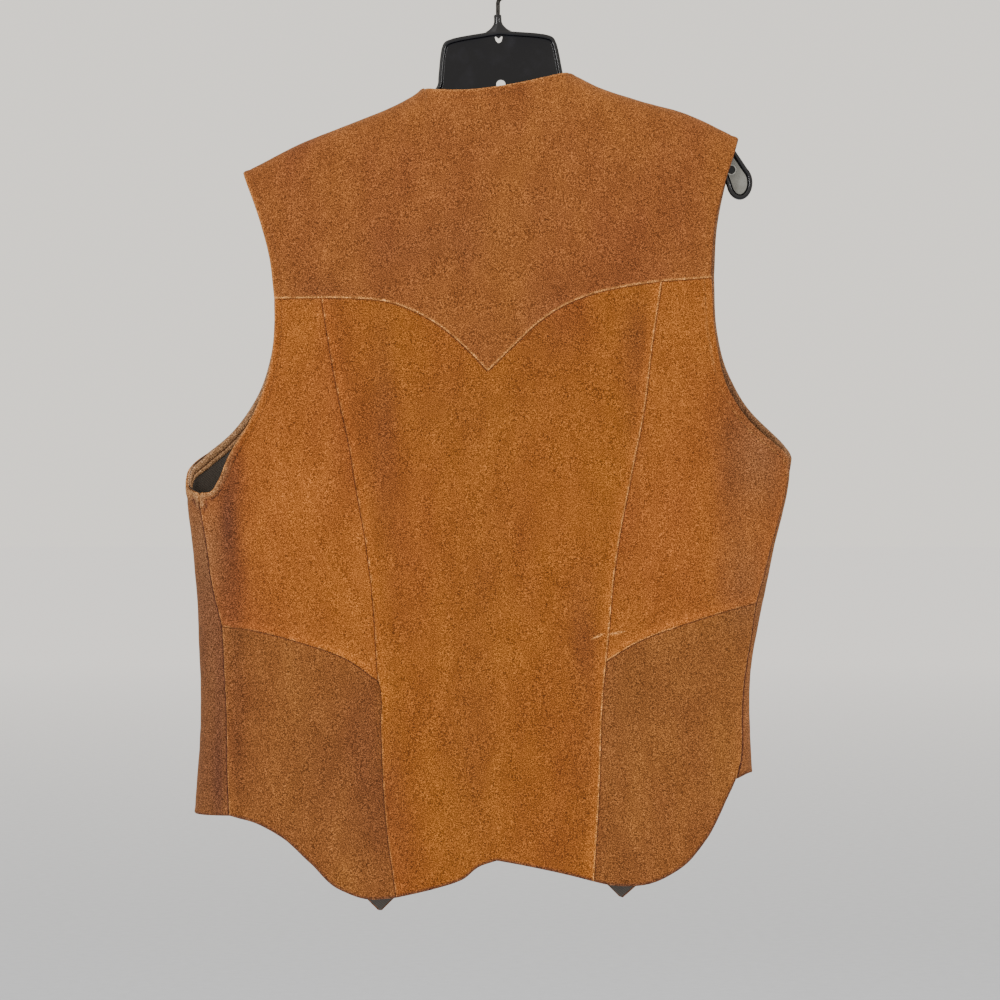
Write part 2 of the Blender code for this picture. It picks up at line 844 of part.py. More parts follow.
def make_hanger():
    frame = bpy.data.objects.new("hanger_frame", None)
    frame.location = (collar_x * MM, 0, -collar_drop * MM)
    frame.rotation_euler = (0, hanger_tilt, 0)
    bpy.context.scene.collection.objects.link(frame)
    body = rimmed_plate("hanger_body", hanger_outline())
    body.parent = frame
    flare = [(collar_half_width, collar_height), (collar_half_width, 0.8)]
    for angle in np.radians(np.linspace(180, 262, 5)):
        x = flare_half_width + flare_radius * math.cos(angle)
        flare.append((x, 0.6 + flare_radius * math.sin(angle)))
    mirrored = [(-x, z) for x, z in flare[::-1]]
    flare += [(flare_half_width, flare_foot), (-flare_half_width, flare_foot)] + mirrored
    neck = prism("hanger_collar", np.array(flare), collar_half)
    neck.hide_render = True
    neck.display_type = "WIRE"
    tools = [("UNION", neck)]
    for hole in hanger_holes:
        tools.append(("DIFFERENCE", cutter("hanger_hole", hole.half, 20, (0, 0, -hole.drop))))
    bore = cutter("hook_bore", bore_radius, 2 * bore_depth, (0, 0, collar_height), True)
    tools.append(("DIFFERENCE", bore))
    for operation, tool in tools:
        tool.parent = frame
        step = body.modifiers.new(tool.name, "BOOLEAN")
        step.operation = operation
        step.object = tool
    set_material(body, "hanger_plastic", plastic_black, 0.3)


def make_hook():
    """Round wire: a stem, a swan neck and most of a ring round the origin's rail."""
    ring = hook_inner_radius + wire_radius
    route = [(collar_x, -collar_drop + collar_height - bore_depth + 0.6)]
    route += [(collar_x, -57), (1.6, -52.5), (5.2, -47.6)]
    for angle in np.radians(np.linspace(-56, 196, 22)):
        route.append((ring * math.cos(angle), -hook_inner_radius + ring * math.sin(angle)))
    curve = bpy.data.curves.new("hanger_hook", "CURVE")
    curve.dimensions = "3D"
    curve.bevel_depth = wire_radius * MM
    curve.bevel_resolution = 2
    curve.use_fill_caps = True
    line = curve.splines.new("POLY")
    line.points.add(len(route) - 1)
    for point, (x, z) in zip(line.points, route):
        point.co = (x * MM, 0, z * MM, 1)
    line.use_smooth = True
    hook = bpy.data.objects.new("hanger_hook", curve)
    bpy.context.scene.collection.objects.link(hook)
    set_material(hook, "hook_steel", steel_grey, 0.35, 1.0)


clear_scene()
make_back()
make_front(True)
make_front(False)
make_snaps()
make_hanger()
make_hook()
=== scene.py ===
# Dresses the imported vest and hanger: fine suede panels over the plain walls, turned and sewn edges,
# lining, snaps, the moulded hanger and its wire hook.
# Tables are in millimetres: x runs to the right as seen from behind, and a drop runs down from the hook.
import math
import bmesh
import bpy
import numpy as np
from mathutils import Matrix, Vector, noise
from mathutils.bvhtree import BVHTree
from mathutils.interpolate import poly_3d_calc
from mathutils.kdtree import KDTree


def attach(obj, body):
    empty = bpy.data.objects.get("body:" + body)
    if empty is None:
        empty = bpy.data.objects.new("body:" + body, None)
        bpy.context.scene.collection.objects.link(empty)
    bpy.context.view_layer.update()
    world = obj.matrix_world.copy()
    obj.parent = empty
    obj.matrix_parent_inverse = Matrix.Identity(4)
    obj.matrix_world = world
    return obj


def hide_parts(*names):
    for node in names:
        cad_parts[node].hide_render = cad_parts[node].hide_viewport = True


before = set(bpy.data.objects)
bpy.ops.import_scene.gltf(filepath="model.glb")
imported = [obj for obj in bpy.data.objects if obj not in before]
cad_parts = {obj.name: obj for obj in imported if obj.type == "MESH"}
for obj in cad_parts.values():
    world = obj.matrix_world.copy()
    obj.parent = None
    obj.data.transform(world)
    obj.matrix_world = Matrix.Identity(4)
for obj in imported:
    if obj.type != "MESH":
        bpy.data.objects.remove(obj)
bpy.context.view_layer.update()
print("frame loaded,", len(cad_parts), "solids")

mm = 0.001
backSide, frontSide = -1, 1


def linked(name, data):
    thing = bpy.data.objects.new(name, data)
    bpy.context.scene.collection.objects.link(thing)
    return thing


def plainMesh(thing, modifier=None):
    # what the object shows, as a mesh of its own; the modifier and the object are taken away
    bpy.context.view_layer.update()
    mesh = bpy.data.meshes.new_from_object(thing.evaluated_get(bpy.context.evaluated_depsgraph_get()))
    if modifier:
        thing.modifiers.remove(modifier)
    bpy.data.objects.remove(thing, do_unlink=True)
    return mesh


# Camera, lights and floor

view = {"place": (0.00255, -3.03, -0.47825), "lens": 127.06, "sensor": 36.0}


def makeCamera():
    data = bpy.data.cameras.new("camera")
    data.lens, data.sensor_width = view["lens"], view["sensor"]
    camera = linked("camera", data)
    camera.location = view["place"]
    camera.rotation_euler = (math.pi / 2, 0, 0)
    bpy.context.scene.camera = camera


studio = {
    "sky": (0.925, 0.88, 0.805), "skyStrength": 1.34,
    # the floor is painted darker near the vest, a painted shade, and pales to the far colour far off
    "floorDrop": 1.45, "floorRadius": 70.0, "floorNearShade": (0.55, 0.58, 0.635), "floorFar": (0.97, 0.97, 0.99),
    "floorFade": (3.0, 18.0),  # metres from the vest over which the floor turns from near to far
    # name, place, aim, width, height, watts
    "lamps": [
        ("keyLamp", (-1.5, -2.9, 1.2), (0, 0, -0.45), 2.2, 2.2, 12),
        ("stripLeft", (-1.9, -2.5, 0.0), (0, 0, -0.1), 0.22, 1.3, 34),
        ("stripRight", (1.9, -2.5, 0.0), (0, 0, -0.1), 0.22, 1.3, 26),
        ("backLamp", (0.6, 3.0, 1.6), (0, 0, -0.4), 2.4, 2.4, 26),
    ],
}


def makeStudio():
    world = bpy.data.worlds.new("studio")
    bpy.context.scene.world = world
    world.use_nodes = True
    background = world.node_tree.nodes["Background"]
    background.inputs["Color"].default_value = (*studio["sky"], 1)
    background.inputs["Strength"].default_value = studio["skyStrength"]
    for name, place, aim, width, height, watts in studio["lamps"]:
        data = bpy.data.lights.new(name, "AREA")
        data.shape = "RECTANGLE"
        data.size, data.size_y, data.energy = width, height, watts
        lamp = linked(name, data)
        lamp.location = place
        lamp.rotation_euler = (Vector(aim) - Vector(place)).to_track_quat("-Z", "Y").to_euler()
    bpy.ops.mesh.primitive_circle_add(vertices=96, radius=studio["floorRadius"], fill_type="NGON",
                                      location=(0, 0, -studio["floorDrop"]))
    floor = bpy.context.object
    floor.name = "floor"
    floor.data.materials.append(floorPaper())


# Materials. Every pattern reads Object coordinates in metres or an attribute of the piece

def linear(colour):
    return [((c / 255 + 0.055) / 1.055) ** 2.4 if c > 10 else c / 255 / 12.92 for c in colour] + [1]


def newMaterial(name):
    material = bpy.data.materials.new(name)
    material.use_nodes = True
    tree = material.node_tree
    return material, tree, tree.nodes["Principled BSDF"]


def plug(tree, node, inputs):
    # links the feeds that are sockets, and sets the others as plain values
    for key, feed in inputs.items():
        if isinstance(feed, bpy.types.NodeSocket):
            tree.links.new(feed, node.inputs[key])
        else:
            node.inputs[key].default_value = feed


def add(tree, kind, inputs, **settings):
    node = tree.nodes.new(kind)
    for key, setting in settings.items():
        setattr(node, key, setting)
    plug(tree, node, inputs)
    return node


def mixed(tree, share, first, second, blend="MIX"):
    # 0, 6 and 7 are the mix node's sockets for a share and two colours
    node = add(tree, "ShaderNodeMix", {}, data_type="RGBA", blend_type=blend)
    plug(tree, node, {0: share, 6: first, 7: second})
    return node.outputs[2]


def multiplied(tree, first, second):
    return mixed(tree, 1.0, first, second, "MULTIPLY")


def sums(tree, operation, first, second):
    return add(tree, "ShaderNodeMath", {0: first, 1: second}, operation=operation).outputs[0]


def ranged(tree, feed, low, high, toLow, toHigh):
    made = add(tree, "ShaderNodeMapRange", {"Value": feed, "From Min": low, "From Max": high,
                                            "To Min": toLow, "To Max": toHigh})
    return made.outputs[0]


def noiseOf(tree, place, scale, detail=2.0, roughness=0.5):
    made = add(tree, "ShaderNodeTexNoise", {"Vector": place, "Scale": scale, "Detail": detail,
                                            "Roughness": roughness})
    return made.outputs[0]


def objectPlace(tree):
    return tree.nodes.new("ShaderNodeTexCoord").outputs["Object"]


def placed(tree, scale=(1, 1, 1), turn=(0, 0, 0), shift=(0, 0, 0)):
    made = add(tree, "ShaderNodeMapping", {"Vector": objectPlace(tree), "Scale": scale,
                                           "Rotation": turn, "Location": shift})
    return made.outputs[0]


def bumpOf(tree, height, strength, distance):
    made = add(tree, "ShaderNodeBump", {"Height": height, "Strength": strength, "Distance": distance})
    return made.outputs[0]


def floorPaper():
    material, tree, shader = newMaterial("floorPaper")
    place = placed(tree)
    far = add(tree, "ShaderNodeVectorMath", {0: place}, operation="LENGTH").outputs["Value"]
    # painted shade: darker near the vest, paling to the far colour
    share = ranged(tree, far, *studio["floorFade"], 0.0, 1.0)
    tint = mixed(tree, share, (*studio["floorNearShade"], 1), (*studio["floorFar"], 1))
    speck = ranged(tree, noiseOf(tree, place, 40, 3), 0.3, 0.7, 0.97, 1.03)
    plug(tree, shader, {"Base Color": multiplied(tree, tint, speck), "Roughness": 0.9,
                        "Specular IOR Level": 0.1})
    return material


suedeLook = {
    # brushed patches and mottle: waves to the metre, detail and roughness of their noise
    "patches": (13, 3, 0.55), "mottle": (62, 2, 0.5), "mottleShare": 0.8, "mottleTone": (0.78, 0.75, 0.74),
    "brushed": (1.0, 1.0, 0.45), "brushTurn": (0, 0.35, 0),  # they are long in the direction of the nap
    # redder and paler hues of the hide, then the lightening of painted highlights and rubbed patches
    "redder": (0.92, 0.885, 0.95), "paler": (1.05, 1.07, 1.0), "paintedHighlightAndRubbed": (1.32, 1.30, 1.25),
    "nap": (1250, 2700),  # grain of the nap, in waves to the metre
    # where in the grain's noise tufts begin and end, and how they change the tone; pits likewise
    "tuft": (0.505, 0.595, (3.3, 3.6, 3.9)), "pit": (0.49, 0.39, (0.40, 0.37, 0.35)),
    # tones of the painted edge highlight with wear, of painted shade, and of fading that is partly painted
    # shade
    "worn": (198, 134, 72), "paintedShadeTone": (62, 34, 27), "fadedAndPaintedShade": (128, 92, 60),
    # pale scuffs across the right princess seam: x, drop, half width, half height, turn in degrees
    "scuffs": [(85.5, 594.2, 7.0, 1.6, 24), (101.5, 591.3, 9.5, 1.5, 12)],
    "sheen": 0.2, "sheenRoughness": 0.45, "sheenTint": (0.9, 0.62, 0.38), "bump": 0.55, "bumpHeight": 0.0009,
}


def scuffShare(tree, x, drop, halfWidth, halfHeight, turn):
    # 1 in the middle of a long flat scuff, 0 at its edge; depth doesn't matter
    c, s = math.cos(math.radians(turn)), math.sin(math.radians(turn))
    centre = (x * mm, -drop * mm)
    squares = []
    for cosine, sine, reach in ((c, s, halfWidth), (-s, c, halfHeight)):
        way = (cosine / (reach * mm), 0, sine / (reach * mm))
        away = add(tree, "ShaderNodeVectorMath", {0: objectPlace(tree), 1: way}, operation="DOT_PRODUCT")
        away = sums(tree, "SUBTRACT", away.outputs["Value"], way[0] * centre[0] + way[2] * centre[1])
        squares.append(sums(tree, "MULTIPLY", away, away))
    return ranged(tree, sums(tree, "ADD", *squares), 0.0, 1.0, 0.5, 0.0)


def suede(name, colour, shift, scuffs=()):
    # nap in several sizes: brushed patches, a mottle of some 15 mm, and the grain of single tufts
    material, tree, shader = newMaterial(name)
    place = placed(tree, shift=shift)
    brushed = placed(tree, scale=suedeLook["brushed"], turn=suedeLook["brushTurn"], shift=shift)
    patches = ranged(tree, noiseOf(tree, brushed, *suedeLook["patches"]), 0.32, 0.68, 0.0, 1.0)
    mottle = ranged(tree, noiseOf(tree, brushed, *suedeLook["mottle"]), 0.32, 0.68, 0.0,
                    suedeLook["mottleShare"])
    coarse = noiseOf(tree, place, suedeLook["nap"][0], 2, 0.6)
    fine = noiseOf(tree, place, suedeLook["nap"][1], 1, 0.5)
    grain = sums(tree, "ADD", sums(tree, "MULTIPLY", coarse, 0.6), sums(tree, "MULTIPLY", fine, 0.4))
    red, gold = ([c * k for c, k in zip(colour, suedeLook[key])] for key in ("redder", "paler"))

    def changed(tone, share, change):
        return mixed(tree, share, tone, multiplied(tree, tone, (*change, 1)))

    def markOf(mark):
        return add(tree, "ShaderNodeAttribute", {}, attribute_name=mark).outputs["Fac"]

    tone = mixed(tree, patches, linear(red), linear(gold))
    tone = changed(tone, mottle, suedeLook["mottleTone"])
    # painted highlight on seam ridges, folds and along the neck, with rubbed paler patches
    tone = changed(tone, markOf("rub"), suedeLook["paintedHighlightAndRubbed"])
    # dull greyed tone: the real faded armhole rim, and painted shade where the sides turn away
    tone = mixed(tree, markOf("fadedAndPaintedShade"), tone, linear(suedeLook["fadedAndPaintedShade"]))
    # painted shade: dark lines under laps, at edges and in grooves, and dark folds
    tone = mixed(tree, markOf("paintedShade"), tone, linear(suedeLook["paintedShadeTone"]))
    # painted highlight along raised seam and armhole edges, with real wear, joined by the real scuffs
    wear = markOf("wear")
    for scuff in scuffs:
        wear = sums(tree, "MAXIMUM", wear, scuffShare(tree, *scuff))
    tone = mixed(tree, wear, tone, linear(suedeLook["worn"]))
    for low, high, change in (suedeLook["tuft"], suedeLook["pit"]):
        tone = changed(tone, ranged(tree, grain, low, high, 0.0, 1.0), change)
    plug(tree, shader, {
        "Base Color": tone, "Normal": bumpOf(tree, grain, suedeLook["bump"], suedeLook["bumpHeight"]),
        "Roughness": 0.95, "Specular IOR Level": 0.12, "Sheen Weight": suedeLook["sheen"],
        "Sheen Roughness": suedeLook["sheenRoughness"], "Sheen Tint": (*suedeLook["sheenTint"], 1),
    })
    return material


liningLook = {"dark": (50, 44, 38), "light": (72, 63, 54), "ribs": 190, "gloss": (0.5, 0.68), "sheen": 0.15}


def liningTwill():
    material, tree, shader = newMaterial("liningTwill")
    ribs = {"Vector": placed(tree, turn=(0, 0.9, 0)), "Scale": liningLook["ribs"], "Distortion": 1.2,
            "Detail": 1.0, "Detail Scale": 3.0}
    twill = add(tree, "ShaderNodeTexWave", ribs, wave_type="BANDS", bands_direction="X").outputs["Fac"]
    # painted shade and light of soft creases: long bands darker and lighter
    paintedCreaseShading = ranged(tree, noiseOf(tree, placed(tree, scale=(1, 1, 0.3)), 26, 3), 0.3, 0.7, 0.8, 1.25)
    tone = mixed(tree, twill, linear(liningLook["dark"]), linear(liningLook["light"]))
    soft = noiseOf(tree, placed(tree), 900, 2)
    plug(tree, shader, {
        "Base Color": multiplied(tree, tone, paintedCreaseShading), "Sheen Weight": liningLook["sheen"],
        "Roughness": ranged(tree, soft, 0.3, 0.7, *liningLook["gloss"]),
        "Normal": bumpOf(tree, twill, 0.3, 0.0003),
    })
    return material


def threadMaterial(name, colour):
    material, tree, shader = newMaterial(name)
    twist = add(tree, "ShaderNodeTexWave", {"Vector": placed(tree, turn=(0.6, 0.8, 0.3)), "Scale": 700},
                wave_type="BANDS").outputs["Fac"]
    tone = mixed(tree, twist, linear([c * 0.75 for c in colour]), linear(colour))
    plug(tree, shader, {"Base Color": tone, "Roughness": 0.8, "Specular IOR Level": 0.1})
    return material


def mouldedPlastic(name, colour, lightColour, roughLow, roughHigh, rimHeight=None):
    # smooth moulded plastic with faint flow marks, dust in patches and hairline scuffs; what stands
    # further from the middle plane than the rim's height is polished
    material, tree, shader = newMaterial(name)
    place = placed(tree)
    dust = ranged(tree, noiseOf(tree, place, 55, 4, 0.6), 0.52, 0.75, 0.0, 1.0)
    scuffs = noiseOf(tree, placed(tree, scale=(1, 1, 9), turn=(0, 0.7, 0)), 160, 2)
    marks = ranged(tree, scuffs, 0.66, 0.72, 0.0, 0.5)
    tone = mixed(tree, sums(tree, "MAXIMUM", dust, marks), linear(colour), linear(lightColour))
    rough = ranged(tree, noiseOf(tree, place, 90, 3), 0.3, 0.7, roughLow, roughHigh)
    gloss = 0.3
    if rimHeight:
        depth = add(tree, "ShaderNodeSeparateXYZ", {0: objectPlace(tree)}).outputs["Y"]
        rim = (sums(tree, "ABSOLUTE", depth, 0.0), rimHeight * mm, (rimHeight + 0.4) * mm)
        gloss = ranged(tree, *rim, 0.28, 0.42)
        rough = sums(tree, "MULTIPLY", rough, ranged(tree, *rim, 1.0, 0.5))
    plug(tree, shader, {"Base Color": tone, "Roughness": rough, "Specular IOR Level": gloss,
                        "Normal": bumpOf(tree, noiseOf(tree, place, 1400, 2), 0.06, 0.0002)})
    return material


def metal(name, colour, darkColour, roughLow, roughHigh):
    material, tree, shader = newMaterial(name)
    tarnish = ranged(tree, noiseOf(tree, placed(tree), 420, 4, 0.6), 0.42, 0.64, 0.0, 1.0)
    drawn = noiseOf(tree, placed(tree, scale=(1, 1, 0.15)), 2600, 2)
    plug(tree, shader, {
        "Base Color": mixed(tree, tarnish, linear(colour), linear(darkColour)), "Metallic": 1.0,
        "Roughness": ranged(tree, drawn, 0.3, 0.7, roughLow, roughHigh),
        "Normal": bumpOf(tree, drawn, 0.1, 0.0001),
    })
    return material


finishes = {
    "yokeSuede": suede("yokeSuede", (116, 67, 31), (0.3, 0.1, 0.2)),
    "centreSuede": suede("centreSuede", (121, 68, 25), (1.3, 0.4, 0.9), suedeLook["scuffs"]),
    "sideSuede": suede("sideSuede", (124, 69, 27), (2.1, 0.7, 1.6), suedeLook["scuffs"]),
    "lowerSuede": suede("lowerSuede", (112, 67, 31), (3.4, 0.2, 2.7)),
    "frontSuede": suede("frontSuede", (107, 65, 36), (4.2, 0.9, 3.3)),
    "facingSuede": suede("facingSuede", (128, 96, 72), (5.5, 0.5, 4.1)),
    "liningTwill": liningTwill(),
    "seamThread": threadMaterial("seamThread", (86, 56, 38)),
    "edgeThread": threadMaterial("edgeThread", (150, 94, 48)),
    "snapBrass": metal("snapBrass", (166, 138, 92), (92, 74, 50), 0.28, 0.48),
    "hookSteel": metal("hookSteel", (54, 52, 50), (24, 23, 22), 0.22, 0.4),
    "hangerPlastic": mouldedPlastic("hangerPlastic", (9, 9, 14), (21, 21, 27), 0.1, 0.2, 1.5),
    # pale bead round each peg hole: its light grey is a painted highlight on the hole's rim
    "earRingHighlight": mouldedPlastic("earRingHighlight", (168, 167, 160), (190, 189, 182), 0.35, 0.5),
    # plain mid grey in the ears' recesses
    "earPadGrey": mouldedPlastic("earPadGrey", (118, 117, 111), (138, 137, 131), 0.6, 0.75),
}
print("materials made")


# The cloth: one surface folded at both sides, as the solids have it

bodyShape = {
    # drop, x of the left and of the right side fold
    "sideFolds": [
        (140, -243, 230), (200, -247, 236), (330, -255, 246), (420, -263, 253.5), (463, -267, 250.5),
        (521, -261, 237.5), (577, -256.8, 226.2), (625, -255, 217.8), (654, -254.3, 216.7),
        (688, -255.5, 217.6), (718, -257.6, 219), (850, -264, 224),
    ],
    # drop, half depth
    "depths": [(100, 25), (200, 26), (330, 29), (470, 33), (640, 31), (850, 34)],
    # x, drop of the line where back and front meet
    "shoulders": [
        (-275, 225), (-218, 197.3), (-170, 173), (-125.8, 155.2), (-83, 137.4), (-62, 125.4), (61.5, 111.6),
        (85, 122.9), (123.6, 135.7), (161.7, 146.5), (207.4, 167.8), (265, 196),
    ],
    # hollows pressed into the back, then into the front: x and drop of one end, of the other, width, and
    # share of the depth that is pressed away
    "backFolds": [
        (-213, 425, -222, 560, 15, 0.22), (-214, 600, -215, 745, 10, 0.2), (206, 430, 214, 520, 16, 0.2),
        (-20, 430, -12, 760, 22, 0.07), (-98, 640, -84, 790, 13, 0.08), (60, 560, 76, 760, 16, 0.06),
    ],
    "frontFolds": [
        (-205, 430, -212, 560, 16, 0.2), (196, 415, 202, 540, 16, 0.2), (-96, 600, -100, 800, 20, 0.08),
        (98, 590, 104, 790, 20, 0.08),
    ],
}

# lines of the panels on the back, as x and drop
backLines = {
    "yokeLeft": [(-190, 306), (-149, 305.7)],
    "yokeLeftCurve": [
        (-149, 305.7), (-124.5, 306), (-95.2, 308.5), (-71.6, 316.6), (-50.2, 328.6), (-28.2, 346.8),
        (-7.7, 368),
    ],
    "yokeRightCurve": [
        (-7.7, 368), (15.1, 345.7), (36.8, 325.6), (58.5, 311.5), (87.6, 300.6), (115, 295), (139.8, 291.4),
    ],
    "yokeRight": [(139.8, 291.4), (182.8, 288)],
    "neckEdge": [(-62, 125.4), (-51, 127.3), (-30, 128.2), (2.6, 125), (41.7, 116.9), (61.5, 111.6)],
    "princessLeftLow": [(-85, 816), (-93.5, 753.7), (-98, 671.2), (-99.7, 633.8), (-100.3, 632.1)],
    "princessLeftHigh": [(-100.3, 632.1), (-107.1, 542.9), (-122, 450), (-134.3, 389.9), (-149, 305.7)],
    "princessRightLow": [(81.6, 802.2), (86.3, 726.5), (88.1, 671.2), (92.5, 614.9)],
    "princessRightHigh": [(92.5, 614.9), (100.3, 531.8), (113.1, 460.4), (128.4, 373.7), (139.8, 291.4)],
    "waistSeamLeft": [(-234.2, 585.6), (-208, 588.8), (-167, 599), (-130.4, 611.7), (-100.3, 632.1)],
    "waistSeamRight": [(92.5, 614.9), (118.8, 599), (161.5, 582.8), (195, 572.6), (221.5, 565.5)],
    "sideSeamLeftLow": [(-227.8, 747.6), (-229.8, 690), (-231.2, 640.8), (-234.2, 585.6)],
    "sideSeamLeftHigh": [(-234.2, 585.6), (-242, 555.2), (-248.3, 512.3), (-255, 472.3)],
    "sideSeamRightLow": [(204.2, 716.8), (208.4, 700), (209.6, 653.4), (214.4, 612.3), (221.5, 565.5)],
    "sideSeamRightHigh": [(221.5, 565.5), (226.9, 546.7), (237.7, 506.5), (245.2, 478), (251, 442.3)],
    "armholeLeftLow": [
        (-255, 472.3), (-244, 470.6), (-238.3, 462), (-229.5, 441.7), (-207, 403.5), (-195.6, 373.7),
        (-190, 335), (-190, 306),
    ],
    "armholeLeftHigh": [(-190, 306), (-195, 268), (-206, 230), (-218, 197.3)],
    "armholeRightLow": [(251, 442.3), (242.3, 433.8), (217.8, 413.4), (199, 387), (187, 343), (182.8, 288)],
    "armholeRightHigh": [(182.8, 288), (186, 245), (195, 207), (207.4, 167.8)],
    "hemLeft": [
        (-227.8, 747.6), (-205, 753.8), (-186.5, 763.2), (-159, 786.8), (-131.2, 810.6), (-108, 817.8),
        (-85, 816),
    ],
    "hemCentreLeft": [(-85, 816), (-57, 809.6), (-30.6, 801.3), (-13.1, 788.9), (0, 784.6)],
    "hemCentreRight": [(0, 784.6), (21.3, 788.5), (61.2, 797), (81.6, 802.2)],
    "hemRight": [
        (81.6, 802.2), (96.1, 805.5), (122.4, 806), (153.5, 793.6), (177.7, 768.6), (196, 734.5),
        (204.2, 716.8),
    ],
}

# lines of the fronts, as x, drop and side: -1 for what wraps round to the back
leftFrontLines = {
    "armholeLow": [
        (-255, 472.3, -1), (-266.2, 469.5, -1), (-267, 459, 1), (-253.5, 441, 1), (-232.9, 423.7, 1),
        (-208.6, 390.9, 1), (-196, 355, 1), (-192, 306, 1),
    ],
    "armholeHigh": [(-192, 306, 1), (-197, 262, 1), (-207, 227, 1), (-218, 197.3, 1)],
    "hem": [
        (-227.8, 747.6, -1), (-250, 747.6, -1), (-259, 746.6, 1), (-231, 750, 1), (-187, 766, 1),
        (-135, 803, 1), (-101.5, 835.6, 1),
    ],
    "hemCentre": [(-101.5, 835.6, 1), (-84, 818.5, 1), (-52, 793, 1), (12, 773, 1)],
    "edge": [(12, 773, 1), (12, 600, 1), (12, 430, 1)],
    "neckLow": [(12, 430, 1), (-8, 355, 1), (-38, 255, 1)],
    "neckHigh": [(-38, 255, 1), (-55, 180, 1), (-62, 125.4, 1)],
}

rightFrontLines = {
    "armholeLow": [
        (251, 442.3, -1), (253, 440.5, 1), (241.6, 424.6, 1), (219.6, 402.4, 1), (200.8, 370.8, 1),
        (190.3, 332, 1), (187.8, 285, 1),
    ],
    "armholeHigh": [(187.8, 285, 1), (190.5, 240, 1), (198, 203, 1), (207.4, 167.8, 1)],
    "hem": [
        (204.2, 716.8, -1), (213, 713, -1), (218.3, 712.3, 1), (207, 717, 1), (190, 735, 1), (148, 786, 1),
        (107.9, 824, 1),
    ],
    "hemCentre": [(107.9, 824, 1), (91, 807.5, 1), (56, 784, 1), (-12, 770, 1)],
    "edge": [(-12, 770, 1), (-12, 600, 1), (-12, 430, 1)],
    "neckLow": [(-12, 430, 1), (10, 355, 1), (42, 250, 1)],
    "neckHigh": [(42, 250, 1), (57, 175, 1), (61.5, 111.6, 1)],
    # the line that parts the grid below the armhole, so that no row of it runs over the armhole's edge
    "shelf": [(251, 442.3, -1), (252.4, 445.5, 1), (240, 449, 1), (200, 453, 1), (104, 447, 1)],
    "shelfCentre": [(104, 447, 1), (50, 438, 1), (-12, 430, 1)],
}


# columns and rows of the panels, before they are made finer
lattice = {
    "lower": 5, "waist": 4, "armhole": 8, "yoke": 6,
    "side": 6, "halfCentre": 7, "shoulder": 9, "neck": 8, "frontPoint": 9, "frontCentre": 3,
}
cloth = {
    "tips": (-218.0, 207.4), "neck": (-62.0, 61.5), "shoulderRadius": 11.0, "sidePower": 4.0,
    "lift": 4.6, "liftStart": -78.0, "liftFull": -42.0, "neckArch": 20.0, "archPower": 6,
    "halfTurnWidth": 150.0, "suedeWall": 1.8, "liningOuter": 2.35, "liningInner": 3.1,
    "waves": ((0.5, 40.0), (0.22, 13.0)),  # height and length of the unevenness of the hide
    "thinnest": 0.12,  # share of the wall's thickness that is left at an edge
    "insideShare": 0.2,  # share of a pressed groove's depth that shows on the inside
    "frontBlotches": 0.4,  # how strong the back's blotches are on the front
}
runFine = 60  # steps between two points of a line, to space places along it evenly


def ease(at, knots, heights):
    # smooth curve through the heights at the knots
    knots, heights = np.asarray(knots, float), np.asarray(heights, float)
    slopes = np.gradient(heights, knots)
    span = np.clip(np.searchsorted(knots, at) - 1, 0, len(knots) - 2)
    width = knots[span + 1] - knots[span]
    t = (at - knots[span]) / width
    rise = (2 * t**3 - 3 * t**2 + 1) * heights[span] + (3 * t**2 - 2 * t**3) * heights[span + 1]
    bend = (t**3 - 2 * t**2 + t) * slopes[span] + (t**3 - t**2) * slopes[span + 1]
    return rise + bend * width


def lengthAlong(line):
    # length from the line's start to each of its points
    return np.concatenate([[0], np.cumsum(np.linalg.norm(np.diff(line, axis=0), axis=1))])


def easeColumn(at, rows, column):
    return ease(at, [row[0] for row in rows], [row[column] for row in rows])


def bodyMiddle(drop):
    left = easeColumn(drop, bodyShape["sideFolds"], 1)
    right = easeColumn(drop, bodyShape["sideFolds"], 2)
    return (left + right) / 2, (right - left) / 2


def ridge(x):
    # drop of the line where back and front meet: the shoulder seams, and an arch over the neck
    line = easeColumn(x, bodyShape["shoulders"], 1)
    left, right = cloth["neck"]
    reach = (x - (left + right) / 2) / ((right - left) / 2)
    return line - cloth["neckArch"] * np.maximum(1 - np.abs(reach) ** cloth["archPower"], 0)


def hollows(x, drop, folds):
    pressed = np.zeros(np.broadcast(x, drop).shape)
    for x0, drop0, x1, drop1, width, depth in folds:
        run = np.array([x1 - x0, drop1 - drop0])
        along = np.clip(((x - x0) * run[0] + (drop - drop0) * run[1]) / (run @ run), 0, 1)
        away = np.hypot(x - x0 - along * run[0], drop - drop0 - along * run[1])
        pressed = pressed + depth * np.exp(-((away / width) ** 2))
    return pressed


def depthSquared(x, drop, side):
    middle, half = bodyMiddle(drop)
    full = easeColumn(drop, bodyShape["depths"], 1) ** 2
    rise = full * (1 - np.exp(-2 * cloth["shoulderRadius"] * (drop - ridge(x)) / full))
    roundSide = 1 - np.abs((x - middle) / half) ** cloth["sidePower"]
    pressed = np.where(side == backSide, hollows(x, drop, bodyShape["backFolds"]),
                       hollows(x, drop, bodyShape["frontFolds"]))
    return rise * roundSide * (1 - pressed) ** 2


def acrossOf(x, drop, side, isLeft=True):
    # half turns round the body: 0 mid back, -1 and 1 the side folds, -2 and 2 mid front
    middle, half = bodyMiddle(drop)
    turn = 2 / math.pi * np.arcsin(np.clip((x - middle) / half, -1, 1))
    if side == backSide:
        return turn
    return (-2 if isLeft else 2) - turn


